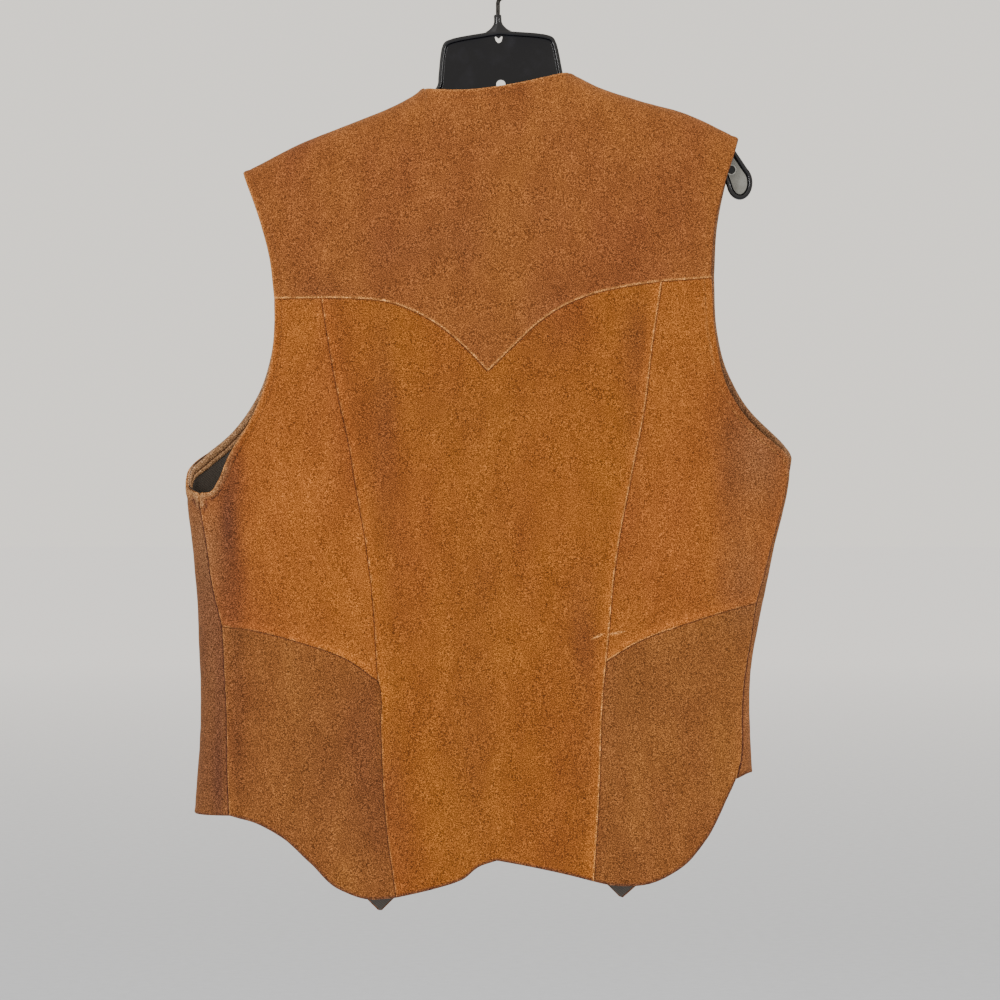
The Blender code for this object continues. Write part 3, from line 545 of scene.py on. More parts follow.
def surface(places):
    # points of the outer face in mm, and the directions that point out of it
    across, drop = places[..., 0], places[..., 1]
    middle, half = bodyMiddle(drop)
    x = middle + half * np.sin(math.pi / 2 * across)
    side = np.where(np.abs(across) <= 1, backSide, frontSide)
    y = side * np.sqrt(np.maximum(depthSquared(x, drop, side), 0))
    step = 0.05
    slopeX = depthSquared(x + step, drop, side) - depthSquared(x - step, drop, side)
    slopeDrop = depthSquared(x, drop + step, side) - depthSquared(x, drop - step, side)
    out = np.stack([-slopeX / (2 * step), 2 * y, slopeDrop / (2 * step)], axis=-1)
    out /= np.linalg.norm(out, axis=-1, keepdims=True)
    return np.stack([x, y, -drop], axis=-1), out


def lifted(points, out):
    # the left front lies over the right one
    share = np.clip((points[..., 0] - cloth["liftStart"]) / (cloth["liftFull"] - cloth["liftStart"]), 0, 1)
    lift = cloth["lift"] * share**2 * (3 - 2 * share)
    return points + lift[..., None] * out


def even(share):
    return share


def nearStart(share):
    return share**1.7


def nearEnd(share):
    return 1 - (1 - share) ** 2


def nearBothEnds(share):
    return (1 - np.cos(math.pi * share)) / 2


def runOf(rows, count, spacing=even, isLeft=True):
    # places along the smooth line through the rows, spaced by its length
    places = []
    for row in rows:
        side = row[2] if len(row) > 2 else backSide
        places.append((acrossOf(row[0], row[1], side, isLeft), row[1]))
    flat = np.array(places) * (cloth["halfTurnWidth"], 1)
    reach = lengthAlong(flat)
    fine = np.linspace(0, reach[-1], runFine * len(rows))
    dense = np.stack([ease(fine, reach, flat[:, 0]), ease(fine, reach, flat[:, 1])], axis=1)
    length = lengthAlong(dense)
    at = spacing(np.linspace(0, 1, count + 1)) * length[-1]
    across = np.interp(at, length, dense[:, 0]) / cloth["halfTurnWidth"]
    return np.stack([across, np.interp(at, length, dense[:, 1])], axis=1)


def join(*runs):
    return np.concatenate([runs[0]] + [run[1:] for run in runs[1:]])


def shoulderRun(xFrom, xTo, count, side, isLeft):
    x = np.linspace(xFrom, xTo, count + 1)
    drop = ridge(x)
    return np.stack([acrossOf(x, drop, side, isLeft), drop], axis=1)


def patch(bottom, top, left, right):
    u = np.linspace(0, 1, len(bottom))[None, :, None]
    v = np.linspace(0, 1, len(left))[:, None, None]
    sides = (1 - u) * left[:, None] + u * right[:, None]
    ends = (1 - v) * bottom[None] + v * top[None]
    corners = (1 - v) * ((1 - u) * bottom[0] + u * bottom[-1]) + v * ((1 - u) * top[0] + u * top[-1])
    return sides + ends - corners


def backPlaces(finer):
    # one grid for the whole back, with every seam on a grid line
    size = {key: count * finer for key, count in lattice.items()}
    side, halfCentre = size["side"], size["halfCentre"]
    lower, upper = size["lower"], size["waist"] + size["armhole"]
    columns, rows = 2 * (side + halfCentre), lower + upper + size["yoke"]
    grid = np.zeros((rows + 1, columns + 1, 2))

    def straight(key, count, spacing=even):
        return runOf(backLines[key], count, spacing)

    hems = [
        straight("hemLeft", side),
        join(straight("hemCentreLeft", halfCentre), straight("hemCentreRight", halfCentre)),
        straight("hemRight", side),
    ]
    yoke = [
        straight("yokeLeft", side),
        join(straight("yokeLeftCurve", halfCentre), straight("yokeRightCurve", halfCentre)),
        straight("yokeRight", side),
    ]
    waists = [straight("waistSeamLeft", side), straight("waistSeamRight", side)]
    princessLeft = [straight("princessLeftLow", lower), straight("princessLeftHigh", upper)]
    princessRight = [straight("princessRightLow", lower), straight("princessRightHigh", upper)]
    outer = []
    for key in ("Left", "Right"):
        seam = straight("sideSeam" + key + "High", size["waist"])
        outer.append(join(seam, straight("armhole" + key + "Low", size["armhole"], nearStart)))
    end = side + 2 * halfCentre
    grid[: lower + 1, : side + 1] = patch(
        hems[0], waists[0], straight("sideSeamLeftLow", lower), princessLeft[0]
    )
    grid[lower : lower + upper + 1, : side + 1] = patch(waists[0], yoke[0], outer[0], princessLeft[1])
    grid[: lower + upper + 1, side : end + 1] = patch(
        hems[1], yoke[1], join(*princessLeft), join(*princessRight)
    )
    grid[: lower + 1, end:] = patch(
        hems[2], waists[1], princessRight[0], straight("sideSeamRightLow", lower)
    )
    grid[lower : lower + upper + 1, end:] = patch(waists[1], yoke[2], princessRight[1], outer[1])
    top = join(
        shoulderRun(cloth["tips"][0], cloth["neck"][0], size["shoulder"], backSide, True),
        straight("neckEdge", size["neck"], nearBothEnds),
        shoulderRun(cloth["neck"][1], cloth["tips"][1], size["shoulder"], backSide, False),
    )
    grid[lower + upper :] = patch(
        join(*yoke), top, straight("armholeLeftHigh", size["yoke"], nearEnd),
        straight("armholeRightHigh", size["yoke"], nearEnd),
    )
    return grid


def frontPlaces(isLeft, finer):
    # grid of one front, from its side seam to its centre edge
    size = {key: count * finer for key, count in lattice.items()}
    lines = leftFrontLines if isLeft else rightFrontLines
    key = "Left" if isLeft else "Right"
    end = 0 if isLeft else 1
    outer = [
        join(runOf(backLines["sideSeam" + key + "Low"], size["lower"]),
             runOf(backLines["sideSeam" + key + "High"], size["waist"])),
        join(runOf(lines["armholeLow"], size["armhole"], nearStart, isLeft),
             runOf(lines["armholeHigh"], size["yoke"], nearEnd, isLeft)),
    ]
    inner = [
        runOf(lines["edge"], size["lower"] + size["waist"], even, isLeft),
        join(runOf(lines["neckLow"], size["armhole"], even, isLeft),
             runOf(lines["neckHigh"], size["yoke"], nearEnd, isLeft)),
    ]

    def acrossRun(key):
        return join(runOf(lines[key], size["frontPoint"], even, isLeft),
                    runOf(lines[key + "Centre"], size["frontCentre"], even, isLeft))

    bottom = acrossRun("hem")
    columns = size["frontPoint"] + size["frontCentre"]
    top = shoulderRun(cloth["tips"][end], cloth["neck"][end], columns, frontSide, isLeft)
    if "shelf" in lines:
        shelf = acrossRun("shelf")
        low, high = patch(bottom, shelf, outer[0], inner[0]), patch(shelf, top, outer[1], inner[1])
        return np.concatenate([low, high[1:]])
    return patch(bottom, top, join(*outer), join(*inner))


def uneven(points):
    # height of the hide's soft unevenness at points in mm
    flat = points.reshape(-1, 3)
    made = np.zeros(len(flat))
    for height, length in cloth["waves"]:
        made += [height * noise.noise(Vector(point / length)) for point in flat]
    return made.reshape(points.shape[:-1])


# Sewn panels

# how an edge is finished: radius of its round, width that it laps over its neighbour, then rows of
# height, distance from the edge and width, for the form and for the four marks on the suede: a painted
# highlight along raised edges with real wear, painted shade lines under laps, at edges and in stitched
# grooves, a faded tone that is partly painted shade, and a painted highlight on seam ridges with rubbed
# patches; "broken" is how steady the highlight and wear are and how much they swing, and "fadesOver"
# where the painted dark line and the fading end
edgeFinish = {
    "turned": {"round": 1.3, "lap": 0.0, "form": ((0.45, 2.6, 2.2), (-0.3, 6.2, 0.9)), "pucker": 0.22,
               "wear": (0.35, 0.3, 1.2), "paintedShade": (0.16, 6.2, 0.7), "broken": (0.7, 0.8)},
    "rim": {"round": 1.3, "lap": 0.0, "form": ((0.7, 2.5, 2.2), (-0.7, 6.2, 1.1)), "pucker": 0.35,
            "wear": (0.35, 0.3, 1.2), "paintedShade": (0.8, 6.2, 1.1), "fadedAndPaintedShade": (0.9, 2.2, 2.7),
            "broken": (0.7, 0.8), "fadesOver": (36, 66)},
    "turnedRight": {"round": 1.3, "lap": 0.0, "form": ((0.45, 2.6, 2.2), (-0.3, 6.2, 0.9)), "pucker": 0.22,
                    "wear": (0.12, 5.6, 0.5), "paintedShade": (0.55, 0.2, 0.7), "broken": (0.5, 1.2)},
    "rimRight": {"round": 1.3, "lap": 0.0, "form": ((0.5, 2.5, 2.0), (-0.4, 6.2, 1.0)), "pucker": 0.25,
                 "wear": (0.35, 5.8, 0.5), "paintedShade": (0.3, 0.1, 0.6), "fadedAndPaintedShade": (0.35, 2.2, 2.7),
                 "broken": (0.35, 1.4), "fadesOver": (45, 85)},
    "hem": {"round": 1.1, "lap": 0.0, "form": ((0.25, 1.8, 2.0),), "pucker": 0.0,
            "wear": (0.15, 0.3, 0.9), "paintedShade": (1.0, 0.5, 1.5), "broken": (0.6, 1.2)},
    "over": {"round": 0.9, "lap": 0.7, "form": ((0.65, 0.6, 2.2),), "pucker": 0.25,
             "wear": (0.85, 0.3, 0.7), "broken": (0.62, 1.0)},
    "seam": {"round": 0.8, "lap": 0.6, "form": ((0.4, 0.6, 1.8),), "pucker": 0.25,
             "wear": (0.9, 0.25, 0.5), "rub": (0.9, 3.2, 3.2), "broken": (0.62, 1.2)},
    "waist": {"round": 0.8, "lap": 0.6, "form": ((0.4, 0.6, 1.8),), "pucker": 0.25,
              "wear": (0.7, 0.2, 0.55), "rub": (0.9, 3.2, 3.2), "broken": (0.12, 1.6)},
    "side": {"round": 0.8, "lap": 0.5, "form": ((0.25, 0.6, 1.6),), "pucker": 0.2,
             "wear": (0.5, 0.2, 0.5), "paintedShade": (0.3, 0.0, 0.6), "rub": (0.5, 3.2, 3.2),
             "broken": (0.4, 1.2)},
    "under": {"round": 0.4, "lap": 0.0, "form": ((-0.9, 0.0, 1.4),), "pucker": 0.2,
              "paintedShade": (0.75, 0.8, 0.6), "broken": (1.0, 0.0)},
    "sideUnder": {"round": 0.4, "lap": 0.0, "form": ((-0.9, 0.0, 1.4),), "pucker": 0.2,
                  "paintedShade": (1.0, 0.9, 0.85), "broken": (1.0, 0.0)},
    "plain": {"round": 0.8, "lap": 0.1, "form": ((-0.3, 0.0, 1.6),), "pucker": 0.15,
              "wear": (0.25, 0.3, 0.7), "paintedShade": (0.35, 0.0, 0.6), "broken": (0.6, 1.0)},
}
closeLines = (0.3, 0.8, 1.4, 2.2, 3.3, 4.7, 6.2, 7.8)  # extra lattice lines beside each border, in from it
rippleLength = 6.5  # length of the small unevenness along an edge
panelFiner, liningFiner, edgeFiner = 7, 3, 5  # how many times finer than the lattice
nearestStep = 0.4  # spacing along a border that distances from it are taken at


def closer(places):
    # adds the close lines to both ends of the columns, then of the rows
    start = np.array((0.0,) + closeLines[:-1])
    margin = closeLines[-1] + 1.2
    for turn in range(2):
        points, _ = surface(places)
        made = np.empty((places.shape[0] + 2 * len(closeLines), places.shape[1], 2))
        for column in range(places.shape[1]):
            reach = lengthAlong(points[:, column])
            total = reach[-1]
            inside = margin + reach * (total - 2 * margin) / total
            at = np.concatenate([start, inside, total - start[::-1]])
            for part in range(2):
                made[:, column, part] = np.interp(at, reach, places[:, column, part])
        places = np.swapaxes(made, 0, 1)
    return places


borderNames = ("bottom", "top", "start", "end")


def borderOf(grid, name, inwards=0):
    # a grid's border line, or the line some steps inwards from it
    rows = {"bottom": inwards, "top": -1 - inwards}
    return grid[rows[name]] if name in rows else grid[:, {"start": inwards, "end": -1 - inwards}[name]]


def nearest(points, line):
    # distance of every point from the line, and where along the line that is
    reach = lengthAlong(line)
    at = np.linspace(0, reach[-1], max(int(reach[-1] / nearestStep), 2))
    dense = np.stack([np.interp(at, reach, line[:, axis]) for axis in range(3)], axis=1)
    tree = KDTree(len(dense))
    for index, point in enumerate(dense):
        tree.insert(point, index)
    tree.balance()
    flat = points.reshape(-1, 3)
    away, along = np.empty(len(flat)), np.empty(len(flat))
    for index, point in enumerate(flat):
        _, spot, distance = tree.find(point)
        away[index], along[index] = distance, at[spot]
    return away.reshape(points.shape[:-1]), along.reshape(points.shape[:-1])


def bell(away, at, width):
    return np.exp(-(((away - at) / width) ** 2))


def finishEdges(points, borders):
    # height, thickness share, sideways lap and marks that the finished edges give every point
    shape = points.shape[:-1]
    height, thick, lap = np.zeros(shape), np.ones(shape), np.zeros(points.shape)
    marks = {mark: np.zeros(shape) for mark in ("wear", "paintedShade", "fadedAndPaintedShade", "rub")}
    for name, spans in borders.items():
        line = borderOf(points, name)
        inner = borderOf(points, name, 1)
        for kind, low, high in spans:
            finish = edgeFinish[kind]
            first, last = (int(round(share * (len(line) - 1))) for share in (low, high))
            piece = line[first : last + 1]
            away, along = nearest(points, piece)
            seed = 17.0 * (len(name) + 3 * len(kind))
            ripple = np.array([noise.noise(Vector((s / rippleLength, seed, 0))) for s in along.ravel()])
            ripple = ripple.reshape(shape)
            t = np.clip(away / finish["round"], 0, 1)
            thick = np.minimum(thick, np.sqrt(1 - (1 - t) ** 2))
            fading = 1.0
            if "fadesOver" in finish:
                start, end = finish["fadesOver"]
                fading = 1 - np.clip((along - start) / (end - start), 0, 1)
            for rise, at, width in finish["form"]:
                height += rise * bell(away, at, width) * (1 + 0.35 * ripple)
            height += finish["pucker"] * ripple * bell(away, 4.0, 4.0)
            steady, swing = finish["broken"]
            # how the painted light and shade and the wear vary along the edge
            shares = {"wear": np.clip(steady + swing * ripple, 0, 1.2), "paintedShade": 0.1 + 0.9 * fading,
                      "fadedAndPaintedShade": fading * (0.85 + 0.3 * ripple), "rub": 1 + 0.5 * ripple}
            for mark in marks:
                if mark in finish:
                    most, at, width = finish[mark]
                    marks[mark] = np.maximum(marks[mark], most * shares[mark] * bell(away, at, width))
            outwards = piece - inner[first : last + 1]
            outwards /= np.linalg.norm(outwards, axis=1, keepdims=True)
            grown = np.zeros(line.shape)
            grown[first : last + 1] = outwards * finish["lap"]
            grown = grown[None] if name in ("bottom", "top") else grown[:, None]
            lap += grown * bell(away, 0, 1.1)[..., None]
    return height, thick, lap, marks


# soft blotches, as x, drop, half width, half height and strength: the first list paints shade in folds
# and where the cloth turns away from the light, the second paints highlights on ridges and along the neck,
# the third paints dull shade at the sides; some rows are real darker and paler patches of the hide
paintedLightAndHideMarks = {
    # painted shade of folds and of cloth turning away from the light, with a few darker patches of the hide
    "paintedShade": [
        (-230, 494, 10, 46, 0.72), (-223, 456, 9, 26, 0.35), (-226, 560, 12, 50, 0.30),
        (-222, 655, 8, 110, 0.30), (-250, 690, 14, 90, 0.35), (-250, 560, 12, 70, 0.22),
        (200, 440, 14, 90, 0.25), (40, 330, 30, 40, 0.14), (-28, 405, 60, 35, 0.12),
        (-20, 700, 26, 120, 0.18), (-92, 735, 12, 70, 0.20), (80, 700, 12, 70, 0.16),
        (72, 590, 13, 45, 0.22), (205, 560, 20, 34, 0.22), (120, 640, 40, 40, 0.10),
        (-112, 700, 14, 90, 0.18), (118, 410, 10, 60, 0.16), (-60, 262, 55, 20, 0.16),
        (30, 235, 35, 16, 0.10), (-150, 300, 22, 12, 0.20), (-238, 720, 6, 60, 0.55),
        (-236, 640, 5, 60, 0.35), (-150, 700, 30, 40, 0.18), (220, 440, 26, 42, 0.26),
        (-96, 395, 10, 95, 0.24), (118, 335, 14, 30, 0.22), (-8, 500, 26, 90, 0.12),
        (-25, 250, 40, 30, 0.12), (-250, 600, 12, 60, 0.16),
    ],
    # painted highlights on ridges, beside seams and along the neck, with some paler rubbed patches
    "rub": [
        (-180, 470, 45, 70, 0.45), (-115, 560, 50, 60, 0.25), (150, 500, 40, 60, 0.35),
        (0, 480, 60, 60, 0.22), (-60, 230, 80, 50, 0.16), (95, 250, 60, 50, 0.18),
        (-170, 700, 40, 30, 0.12), (140, 720, 30, 40, 0.12), (0, 620, 50, 50, 0.12),
        (-31, 135, 30, 7, 0.45), (214, 665, 9, 60, 0.85), (-66, 520, 14, 80, 0.28), (60, 500, 16, 60, 0.22),
    ],
    # dull painted shade where the sides turn away from the light
    "fadedAndPaintedShade": [
        (-245, 520, 15, 42, 0.35), (-245, 600, 16, 60, 0.12), (222, 440, 24, 46, 0.30),
        (212, 540, 20, 40, 0.18),
    ],
}


def blotches(points, rows):
    made = np.zeros(points.shape[:-1])
    for x, drop, halfWidth, halfHeight, strength in rows:
        spread = ((points[..., 0] - x) / halfWidth) ** 2 + ((points[..., 2] + drop) / halfHeight) ** 2
        made = 1 - (1 - made) * (1 - strength * np.exp(-spread))
    return np.where(points[..., 1] < 0, made, made * cloth["frontBlotches"])


def finished(name, mesh, finish, slot, sharp=0.7):
    # puts a mesh in the scene with its material, riding on the one body
    mesh.shade_smooth()
    mesh.set_sharp_from_angle(angle=sharp)
    piece = linked(name, mesh)
    mesh.materials.append(finishes[finish])
    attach(piece, "root")
    return piece


def cornersOf(points):
    # the number of every point of a grid, in the grid's own form
    return np.arange(points.shape[0] * points.shape[1]).reshape(points.shape[:2])


def meshOf(name, points, faces, marks):
    # mesh of points in mm, its faces turned outwards, with the marks as attributes
    mesh = bpy.data.meshes.new(name)
    mesh.from_pydata((points * mm).tolist(), [], faces)
    for mark, strengths in marks.items():
        attribute = mesh.attributes.new(mark, "FLOAT", "POINT")
        attribute.data.foreach_set("value", np.clip(strengths, 0, 1).astype(np.float32))
    return facedOutwards(mesh)


def facedOutwards(mesh, weld=0.0):
    shape = bmesh.new()
    shape.from_mesh(mesh)
    if weld:
        bmesh.ops.remove_doubles(shape, verts=shape.verts, dist=weld)
    bmesh.ops.recalc_face_normals(shape, faces=shape.faces)
    shape.to_mesh(mesh)
    shape.free()
    return mesh


def shell(name, outer, inner, marks={}):
    # closed mesh between two grids of points in mm; the inner one has half the marks' strength
    index = cornersOf(outer)
    below = index.size
    quads = np.stack([index[:-1, :-1], index[:-1, 1:], index[1:, 1:], index[1:, :-1]], axis=-1).reshape(-1, 4)
    rim = np.concatenate([index[0, :-1], index[:-1, -1], index[-1, :0:-1], index[:0:-1, 0]])
    following = np.roll(rim, -1)
    edge = np.stack([following, rim, rim + below, following + below], axis=1)
    faces = np.concatenate([quads, quads[:, ::-1] + below, edge]).tolist()
    points = np.concatenate([outer.reshape(-1, 3), inner.reshape(-1, 3)])
    strengths = {mark: np.concatenate([most.ravel(), most.ravel() * 0.5]) for mark, most in marks.items()}
    return meshOf(name, points, faces, strengths)


def plainName(name):
    # yokeBack becomes yoke_back, as nodes and slots are named
    return "".join("_" + letter.lower() if letter.isupper() else letter for letter in name)


def suedePanel(name, places, borders, finish, isLeftFront=False):
    places = closer(places)
    points, out = surface(places)
    if isLeftFront:
        points = lifted(points, out)
    waves = uneven(points)
    height, thick, lap, marks = finishEdges(points, borders)
    # the blotches of painted shade and highlight, and of the hide, join the edges' marks
    for mark, rows in paintedLightAndHideMarks.items():
        marks[mark] = np.maximum(marks[mark], blotches(points, rows))
    half = cloth["suedeWall"] / 2
    thick = half * np.maximum(thick, cloth["thinnest"])
    middle = points + lap + (waves - half)[..., None] * out
    outer = middle + (thick + height)[..., None] * out
    inner = middle - (thick - np.minimum(height, 0) * cloth["insideShare"])[..., None] * out
    piece = finished(name, shell(name, outer, inner, marks), finish, plainName(finish))
    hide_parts(plainName(name))
    print("panel", name)


def makePanels():
    grid = backPlaces(panelFiner)
    lower = lattice["lower"] * panelFiner
    yoke = (lattice["lower"] + lattice["waist"] + lattice["armhole"]) * panelFiner
    left = lattice["side"] * panelFiner
    right = (lattice["side"] + 2 * lattice["halfCentre"]) * panelFiner
    seamShare = lattice["waist"] / (lattice["waist"] + lattice["armhole"])
    shoulder = lattice["shoulder"] / (2 * lattice["shoulder"] + lattice["neck"])
    over, under, seam, side, waistLeft, armhole, armholeRight, hem = (
        ((kind, 0, 1),) for kind in ("over", "under", "seam", "side", "waist", "turned", "turnedRight", "hem")
    )
    outerLeft = (("side", 0, seamShare), ("rim", seamShare, 1))
    outerRight = (("side", 0, seamShare), ("rimRight", seamShare, 1))
    princessShare = lattice["lower"] / (lattice["lower"] + lattice["waist"] + lattice["armhole"])
    princess = (("side", 0, princessShare), ("waist", princessShare, 1))
    waistRight = (("seam", 0, 0.42), ("waist", 0.42, 1))
    neckline = (("plain", 0, shoulder), ("turned", shoulder, 1 - shoulder), ("plain", 1 - shoulder, 1))
    # name, grid, finish, and how its bottom, top, start and end edges are finished
    panels = [
        ("yokeBack", grid[yoke:], "yokeSuede", over, neckline, armhole, armholeRight),
        ("backCentre", grid[: yoke + 1, left : right + 1], "centreSuede", hem, under, princess, seam),
        ("backSideUpperLeft", grid[lower : yoke + 1, : left + 1], "sideSuede", waistLeft, under, outerLeft,
         under),
        ("backSideUpperRight", grid[lower : yoke + 1, right:], "sideSuede", waistRight, under, under,
         outerRight),
        ("backSideLowerLeft", grid[: lower + 1, : left + 1], "lowerSuede", hem, under, side, under),
        ("backSideLowerRight", grid[: lower + 1, right:], "lowerSuede", hem, under, under, side),
    ]
    for name, places, finish, *kinds in panels:
        suedePanel(name, places, dict(zip(borderNames, kinds)), finish)
    frontRows = sum(lattice[key] for key in ("lower", "waist", "armhole", "yoke"))
    frontShare = (lattice["lower"] + lattice["waist"]) / frontRows
    for name, isLeft, rim in (("frontLeft", True, "rim"), ("frontRight", False, "rimRight")):
        borders = {
            "start": (("sideUnder", 0, frontShare), (rim, frontShare, 1)), "end": armhole,
            "bottom": hem, "top": (("plain", 0, 1),),
        }
        suedePanel(name, frontPlaces(isLeft, panelFiner), borders, "frontSuede", isLeft)


makePanels()


# Lining

def makeLining(name, places, margins, isLeftFront=False):
    points, out = surface(trimmed(places, margins))
    if isLeftFront:
        points = lifted(points, out)
    waves = uneven(points)
    outer = points + (waves - cloth["liningOuter"])[..., None] * out
    inner = points + (waves - cloth["liningInner"])[..., None] * out
    piece = finished(name, shell(name, outer, inner), "liningTwill", "lining_cloth")
    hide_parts(plainName(name))


def trimmed(places, margins):
    # moves the border lines in by the margins in mm: bottom, top, start, end
    made = places.copy()
    for margin, name in zip(margins, borderNames):
        points, _ = surface(made)
        gap = np.linalg.norm(borderOf(points, name, 1) - borderOf(points, name), axis=-1, keepdims=True)
        line, inner = borderOf(made, name), borderOf(made, name, 1)
        line += (inner - line) * np.minimum(margin / gap, 0.9)
    return made


makeLining("liningBack", backPlaces(liningFiner), (1.6, 0.2, 0.2, 0.2))
makeLining("liningFrontLeft", frontPlaces(True, liningFiner), (1.6, 0.2, 0.2, 1.6), True)
makeLining("liningFrontRight", frontPlaces(False, liningFiner), (1.6, 0.2, 0.2, 1.6))
print("lining made")


# Edge facings: the strips turned in round the armholes, the neck and the front edges

facing = {
    "step": 3.0, "swell": 0.45, "rippleLength": 11.0,
    # distance from the edge and depth below the outer face: a turned strip, a stitched groove, a second strip
    "section": [
        (0.0, 1.0), (0.0, 2.2), (0.15, 3.1), (0.7, 4.0), (2.0, 4.5), (4.0, 4.5), (5.4, 4.15), (6.1, 3.5),
        (6.7, 4.05), (7.8, 4.4), (9.2, 4.3), (10.1, 3.85), (10.4, 3.3), (9.6, 3.16), (5.0, 3.16),
        (1.2, 3.16), (0.5, 1.6),
    ],
    "stitchAway": 6.1, "outsideHeight": -0.2, "insideDepth": 3.95, "grooveHalf": 0.4, "wear": 0.1,
    # painted shade on the facings: a plain amount, and more on the right ones, which lie in the shade between
    # the layers
    "plainPaintedShade": 0.06, "paintedShade": {"facingFrontRightArmhole": 0.6, "facingBackArmholeRight": 0.4},
}


def baseSurface(grid, isLeftFront):
    # what an offset line is laid on: a tree of faces, with the corners' places and directions
    points, out = surface(grid)
    if isLeftFront:
        points = lifted(points, out)
    index = cornersOf(points)
    first = np.stack([index[:-1, :-1], index[:-1, 1:], index[1:, 1:]], axis=-1).reshape(-1, 3)
    second = np.stack([index[:-1, :-1], index[1:, 1:], index[1:, :-1]], axis=-1).reshape(-1, 3)
    faces = np.concatenate([first, second])
    flat, normals = points.reshape(-1, 3), out.reshape(-1, 3)
    tree = BVHTree.FromPolygons(flat.tolist(), faces.tolist())
    return points, (tree, flat, normals, faces)


def laidOn(base, point):
    tree, flat, normals, faces = base
    spot, _, index, _ = tree.find_nearest(Vector(point))
    corners = faces[index]
    shares = np.array(poly_3d_calc([Vector(flat[c]) for c in corners], spot))
    out = shares @ normals[corners]
    return np.array(spot), out / np.linalg.norm(out)


def evenly(line, step):
    reach = lengthAlong(line)
    at = np.linspace(0, reach[-1], max(int(round(reach[-1] / step)), 2) + 1)
    return np.stack([np.interp(at, reach, line[:, axis]) for axis in range(3)], axis=1)


def offsetLines(base, border, inner, step, distances):
    # for each even step along the border, spots on the surface at the distances from it
    line, inside = evenly(border, step), evenly(inner, step)
    inside = inside[np.linspace(0, len(inside) - 1, len(line)).round().astype(int)]
    tangent = np.gradient(line, axis=0)
    tangent /= np.linalg.norm(tangent, axis=1, keepdims=True)
    outs = np.array([laidOn(base, point)[1] for point in line])
    inward = np.cross(outs, tangent)
    inward /= np.linalg.norm(inward, axis=1, keepdims=True)
    if ((inside - line) * inward).sum() < 0:
        inward = -inward
    spots = np.empty((len(line), len(distances), 3))
    normals = np.empty_like(spots)
    for row in range(len(line)):
        for column, away in enumerate(distances):
            spots[row, column], normals[row, column] = laidOn(base, line[row] + away * inward[row])
    return spots, normals


def makeFacing(name, base, border, inner):
    section = np.array(facing["section"])
    spots, normals = offsetLines(base, border, inner, facing["step"], section[:, 0])
    steps = np.arange(len(spots)) * facing["step"] / facing["rippleLength"]
    ripple = np.array([noise.noise(Vector((step, 3.7, 0))) for step in steps])
    swell = np.where(section[:, 1] > 3.3, facing["swell"], 0) * np.sin(section[:, 0])
    depth = section[None, :, 1] + ripple[:, None] * swell[None]
    points = spots + (uneven(spots) - depth)[..., None] * normals
    index = cornersOf(points)
    turned = np.roll(index, -1, axis=1)
    quads = np.stack([index[:-1], index[1:], turned[1:], turned[:-1]], axis=-1).reshape(-1, 4).tolist()
    faces = quads + [index[0].tolist(), index[-1, ::-1].tolist()]
    # painted shade: full in the stitched groove, the facing's given amount elsewhere
    groove = np.abs(section[:, 0] - facing["stitchAway"]) < facing["grooveHalf"]
    paintedShade = np.tile(np.where(groove, 1.0, facing["paintedShade"].get(name, facing["plainPaintedShade"])), len(points))
    marks = {"wear": np.full(index.size, facing["wear"]), "paintedShade": paintedShade}
    return finished(name, meshOf(name, points.reshape(-1, 3), faces, marks), "facingSuede", "front_suede")


# Stitches, laid along lines by a geometry node tree

stitches = {
    "pitch": 3.3 * mm, "length": 2.5 * mm, "width": 0.6 * mm, "seed": 4, "lean": 0.07,
    "lineStep": 1.6, "rimSteps": 34,  # the first steps of an armhole's line have the darker thread
}


